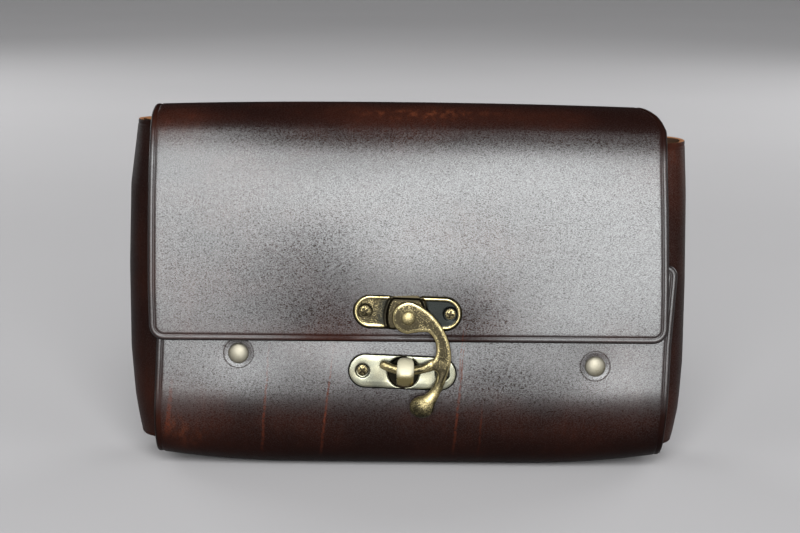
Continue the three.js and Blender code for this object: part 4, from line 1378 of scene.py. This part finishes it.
SCREW_SINK = 0.3
UPPER_SCREW_TURNS = (0.5, -0.25)
LOWER_SCREW_TURNS = (0.75, 0.2)
screw_height = PLATE_THICK - SCREW_SINK
screw_places = []
for plate, seat, turns in ((UPPER, upper_seat, UPPER_SCREW_TURNS), (LOWER, lower_seat, LOWER_SCREW_TURNS)):
    ends = np.array([[-plate.screw_x, 0, screw_height], [plate.screw_x, 0, screw_height]])
    spots = on_clasp(ends, plate.x, plate.y, seat, plate.tilt)
    screw_places += [(spot, hinge_out, turn) for spot, turn in zip(spots, turns)]
screws = placed_copies("clasp_screws", screw_tree, aged_brass, SCREW_SIZES, screw_places)
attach(screws, "bag")
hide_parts(*[f"screw_{plate}_{end}" for plate in ("upper", "lower") for end in ("left", "right")])

# The pivot
# A domed brass pin through the upper plate and the hook's head. The hook turns on it.
PIVOT_CAP_R = 2.5
PIVOT_RISE = 1.3
PIVOT_RIM = 0.2
PIVOT_LIP = 0.12
PIVOT_SINK = 0.15
PIVOT_SHANK_R = 1.2
PIVOT_RUBBED = 0.25
PIVOT_RUBBED_RISE = 0.6
pivot_seat = HOOK_THICK + GAP - PIVOT_SINK
dome_turn = np.linspace(0, np.pi / 2, 12)[:-1]
dome_rise = PIVOT_RISE - PIVOT_RIM
pivot_profile = [
    (0, upper_seat),
    (PIVOT_SHANK_R, upper_seat),
    (PIVOT_SHANK_R, pivot_seat),
    (PIVOT_CAP_R - PIVOT_LIP, pivot_seat),
    *[(PIVOT_CAP_R * math.cos(t), pivot_seat + PIVOT_RIM + dome_rise * math.sin(t)) for t in dome_turn],
    (0, pivot_seat + PIVOT_RISE),
]
pivot_points, pivot_faces = turned_form(pivot_profile)
pivot = solid_piece(
    "clasp_pivot_head",
    on_clasp(pivot_points),
    pivot_faces,
    aged_brass,
    rubbed=PIVOT_RUBBED * smooth(pivot_seat, pivot_seat + PIVOT_RUBBED_RISE, pivot_points[:, 2]),
)
keep(pivot, "matte", np.ones(len(pivot.data.vertices)))
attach(pivot, "bag")
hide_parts("clasp_pivot")

# The hook
# One brass casting: a flat bevelled arm swings on the pivot, a round prong on its inner side slides under the
# keeper, and a tail ends in a flattened ball for the thumb. Its edges are rubbed bright.
HEAD_R = 5.85
ARM_BEVEL = 0.75
PRONG_ORBIT = 19.4
BALL_X = 5.1
BALL_Y = -32.6
BALL_HALF_WIDE = 4.45
BALL_HALF_TALL = 3.95
BALL_HALF_THICK = 2.8
HEAD_DEGREES = (270, 69)


def curve_points(controls, count):
    """Points on a Bezier curve of any degree, without its last."""
    t = np.linspace(0, 1, count, endpoint=False)[:, None]
    degree = len(controls) - 1
    return sum(
        math.comb(degree, k) * t**k * (1 - t) ** (degree - k) * np.array(control)
        for k, control in enumerate(controls)
    )


head_turn = np.radians(np.linspace(*HEAD_DEGREES, 60, endpoint=False))
arm_outline = np.concatenate([
    HEAD_R * np.stack([np.cos(head_turn), np.sin(head_turn)], axis=1),
    curve_points([(2.1, 5.46), (8.8, 2.8), (15.65, -5.5), (15.65, -14.7)], 44),
    curve_points([(15.65, -14.7), (15.4, -18.6), (13.6, -22)], 16),
    curve_points([(13.6, -22), (11, -21.6)], 8),
    curve_points([(11, -21.6), (10.7, -19.2), (8.6, -19)], 10),
    curve_points([(8.6, -19), (8.4, -16)], 6),
    curve_points([(8.4, -16), (11.4, -13.2), (10.4, -7.3), (7.1, -5.2)], 30),
    curve_points([(7.1, -5.2), (4, -4.95), (0, -HEAD_R)], 20),
])


def bevelled_slab(outline, thick, bevel):
    """A flat form of an outline with its rims bevelled round, as points and faces."""
    curve = bpy.data.curves.new("slab", "CURVE")
    curve.dimensions = "2D"
    curve.fill_mode = "BOTH"
    curve.extrude = thick / 2 - bevel
    curve.bevel_depth = bevel
    curve.bevel_resolution = 3
    curve.offset = -bevel
    spline = curve.splines.new("POLY")
    spline.points.add(len(outline) - 1)
    level, weight = np.zeros(len(outline)), np.ones(len(outline))
    spline.points.foreach_set("co", np.column_stack([outline, level, weight]).ravel())
    spline.use_cyclic_u = True
    maker = bpy.data.objects.new("slab", curve)
    bpy.context.scene.collection.objects.link(maker)
    slab = settled_mesh("slab", maker)
    points = np.array([vertex.co for vertex in slab.data.vertices]) + (0, 0, thick / 2)
    faces = [list(face.vertices) for face in slab.data.polygons]
    bpy.data.objects.remove(slab)
    return points, faces


PRONG_DEGREES = (-121.5, -58)
PRONG_STEPS = 90
PRONG_FULLNESS = 1.12
PRONG_TIP = 0.02
ROOT_NARROWS = 0.4
ROOT_DEEPENS = 0.25
TAIL_STEPS = 40

# Rows of the tail's half width and half thickness, at shares of its run from the arm to the ball.
TAIL_WIDTHS = [(0, 2.0), (0.2, 1.95), (0.45, 1.75), (0.7, 1.8), (0.88, 2.5), (1, 3.5)]
TAIL_THICKS = [(0, 1.0), (0.3, 1.2), (0.6, 1.45), (1, 2.2)]
PRONG_RUN = PRONG_ORBIT * math.radians(PRONG_DEGREES[1] - PRONG_DEGREES[0])
prong_turn = np.radians(np.linspace(*PRONG_DEGREES, PRONG_STEPS))
prong_line = np.stack([
    PRONG_ORBIT * np.cos(prong_turn),
    PRONG_ORBIT * np.sin(prong_turn),
    np.full(len(prong_turn), HOOK_THICK / 2),
], axis=1)
tail_line = np.column_stack([
    curve_points([(12.9, -17), (12.7, -22.5), (10.4, -27.5), (BALL_X + 1.2, BALL_Y + 1)], TAIL_STEPS),
    np.full(TAIL_STEPS, HOOK_THICK / 2),
])


def prong_section(share, turn):
    from_tip = min(1, share * PRONG_RUN / PRONG_R)
    r = PRONG_FULLNESS * PRONG_R * math.sqrt(max(PRONG_TIP, 1 - (1 - from_tip) ** 2))
    at_root = smooth(0.72, 0.98, share)
    return r * (1 - ROOT_NARROWS * at_root) * np.cos(turn), r * (1 + ROOT_DEEPENS * at_root) * np.sin(turn)


def tail_section(share, turn):
    return profile_at(TAIL_THICKS, share) * np.cos(turn), profile_at(TAIL_WIDTHS, share) * np.sin(turn)


ball_turn = np.linspace(-np.pi / 2, np.pi / 2, 24)
ball_points, ball_faces = turned_form([(math.cos(t), math.sin(t)) for t in ball_turn])
ball_points *= (BALL_HALF_WIDE, BALL_HALF_TALL, BALL_HALF_THICK)
out_of_hook = np.array([0, 0, 1.0])
hook_parts = [
    bevelled_slab(arm_outline, HOOK_THICK, ARM_BEVEL),
    swept_bar(prong_line, out_of_hook, prong_section),
    swept_bar(tail_line, out_of_hook, tail_section),
    (ball_points + (BALL_X, BALL_Y, HOOK_THICK / 2), ball_faces),
]
hook_parts = [(on_clasp(points), faces) for points, faces in hook_parts]
hook = fused("swing_hook", hook_parts, aged_brass, voxel=0.14, passes=7)
spots, normals = points_of(hook)
on_edge = 1 - smooth(0.88, 0.995, np.abs(normals[:, 2]))
on_arm = smooth(BALL_Y + 7, BALL_Y + 11, spots[:, 1])
on_tail = (1 - on_arm) * smooth(BALL_Y - 1, BALL_Y + 5, spots[:, 1])
on_prong = (1 - smooth(8.5, 9.5, spots[:, 0])) * (1 - smooth(-15, -14, spots[:, 1]))
rim_finder = KDTree(len(arm_outline))
for i, (x, y) in enumerate(arm_outline):
    rim_finder.insert((x, y, 0), i)
rim_finder.balance()
from_rim = np.array([rim_finder.find((x, y, 0))[2] for x, y, _ in spots])
on_rim = (1 - smooth(0.4, 1.8, from_rim)) * smooth(-19, -14, spots[:, 1])
edge_shine = on_edge * on_arm * (0.6 - 0.3 * on_prong)
keep(hook, "rubbed", edge_shine + 0.3 * on_rim + 0.15 * on_prong + 0.3 * on_tail - 0.1)
keep(hook, "matte", np.maximum(1 - on_arm, 0.6 * on_prong))
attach(hook, "hook")
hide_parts("clasp_hook")

# The stage
# A plain pale floor, a wide soft window of light in front, weak fills at the sides and behind, a wash over
# the far floor, and the camera.
FLOOR_HALF = 6000
FLOOR_PALE = (0.42, 0.416, 0.424, 1)
FLOOR_PALER = (0.45, 0.446, 0.454, 1)
FLOOR_ROUGHNESS = 0.9
ROOM_COLOUR = (0.30, 0.30, 0.32, 1)
ROOM_STRENGTH = 0.10
floor_points = FLOOR_HALF * np.array([(-1, -1, 0), (1, -1, 0), (1, 1, 0), (-1, 1, 0)])
floor_mesh = bpy.data.meshes.new("floor")
floor_mesh.from_pydata((floor_points * MM).tolist(), [], [(0, 1, 2, 3)])
floor = bpy.data.objects.new("floor", floor_mesh)
bpy.context.scene.collection.objects.link(floor)
floor_finish, floor_shader, floor_place = new_finish("pale_floor")
cloud = floor_place.speckle(3, 2, 0.5)
join(cloud.mix(FLOOR_PALE, FLOOR_PALER), floor_shader["Base Color"])
floor_shader["Roughness"].default_value = FLOOR_ROUGHNESS
floor_mesh.materials.append(floor_finish)

Lamp = namedtuple("Lamp", "name place aim width height watts spread")
LAMPS = [
    Lamp("window", (20, -1750, 1040), (20, 0, 1040), 1150, 2060, 88, 180),
    Lamp("left_fill", (-1500, -850, 900), (0, 0, 60), 1500, 1700, 10, 180),
    Lamp("right_fill", (1500, -850, 900), (0, 0, 60), 1500, 1700, 10, 180),
    Lamp("back_left", (-1300, 1300, 700), (0, 0, 60), 1200, 1200, 15, 180),
    Lamp("back_right", (1300, 1300, 700), (0, 0, 60), 1200, 1200, 15, 180),
    Lamp("far_wash", (0, 2700, 1800), (0, 2700, 0), 5000, 3600, 24, 60),
]
for lamp in LAMPS:
    light = bpy.data.lights.new(lamp.name, "AREA")
    light.shape = "RECTANGLE"
    light.size = lamp.width * MM
    light.size_y = lamp.height * MM
    light.energy = lamp.watts
    light.spread = math.radians(lamp.spread)
    holder = bpy.data.objects.new(lamp.name, light)
    holder.location = Vector(lamp.place) * MM
    holder.rotation_euler = (Vector(lamp.aim) - Vector(lamp.place)).to_track_quat("-Z", "Y").to_euler()
    holder.visible_camera = False
    bpy.context.scene.collection.objects.link(holder)

world = bpy.data.worlds.new("room")
world.use_nodes = True
background = world.node_tree.nodes["Background"].inputs
background["Color"].default_value = ROOM_COLOUR
background["Strength"].default_value = ROOM_STRENGTH
scene = bpy.context.scene
scene.world = world
scene.view_settings.view_transform = "Standard"

CAMERA_AT = Vector((-3.2, -726, 205))
CAMERA_AIM = Vector((-3.2, -26, 77.6))
CAMERA_ROLL = 0.5
FOCAL_PIXELS = 1978
IMAGE_WIDTH = 800
camera_data = bpy.data.cameras.new("camera")
camera_data.sensor_width = 36
camera_data.lens = camera_data.sensor_width * FOCAL_PIXELS / IMAGE_WIDTH
camera_data.clip_start = 0.01
camera = bpy.data.objects.new("camera", camera_data)
camera.location = CAMERA_AT * MM
camera.rotation_mode = "QUATERNION"
roll = Quaternion((0, 0, 1), math.radians(CAMERA_ROLL))
camera.rotation_quaternion = (CAMERA_AIM - CAMERA_AT).to_track_quat("-Z", "Y") @ roll
scene.collection.objects.link(camera)
scene.camera = camera
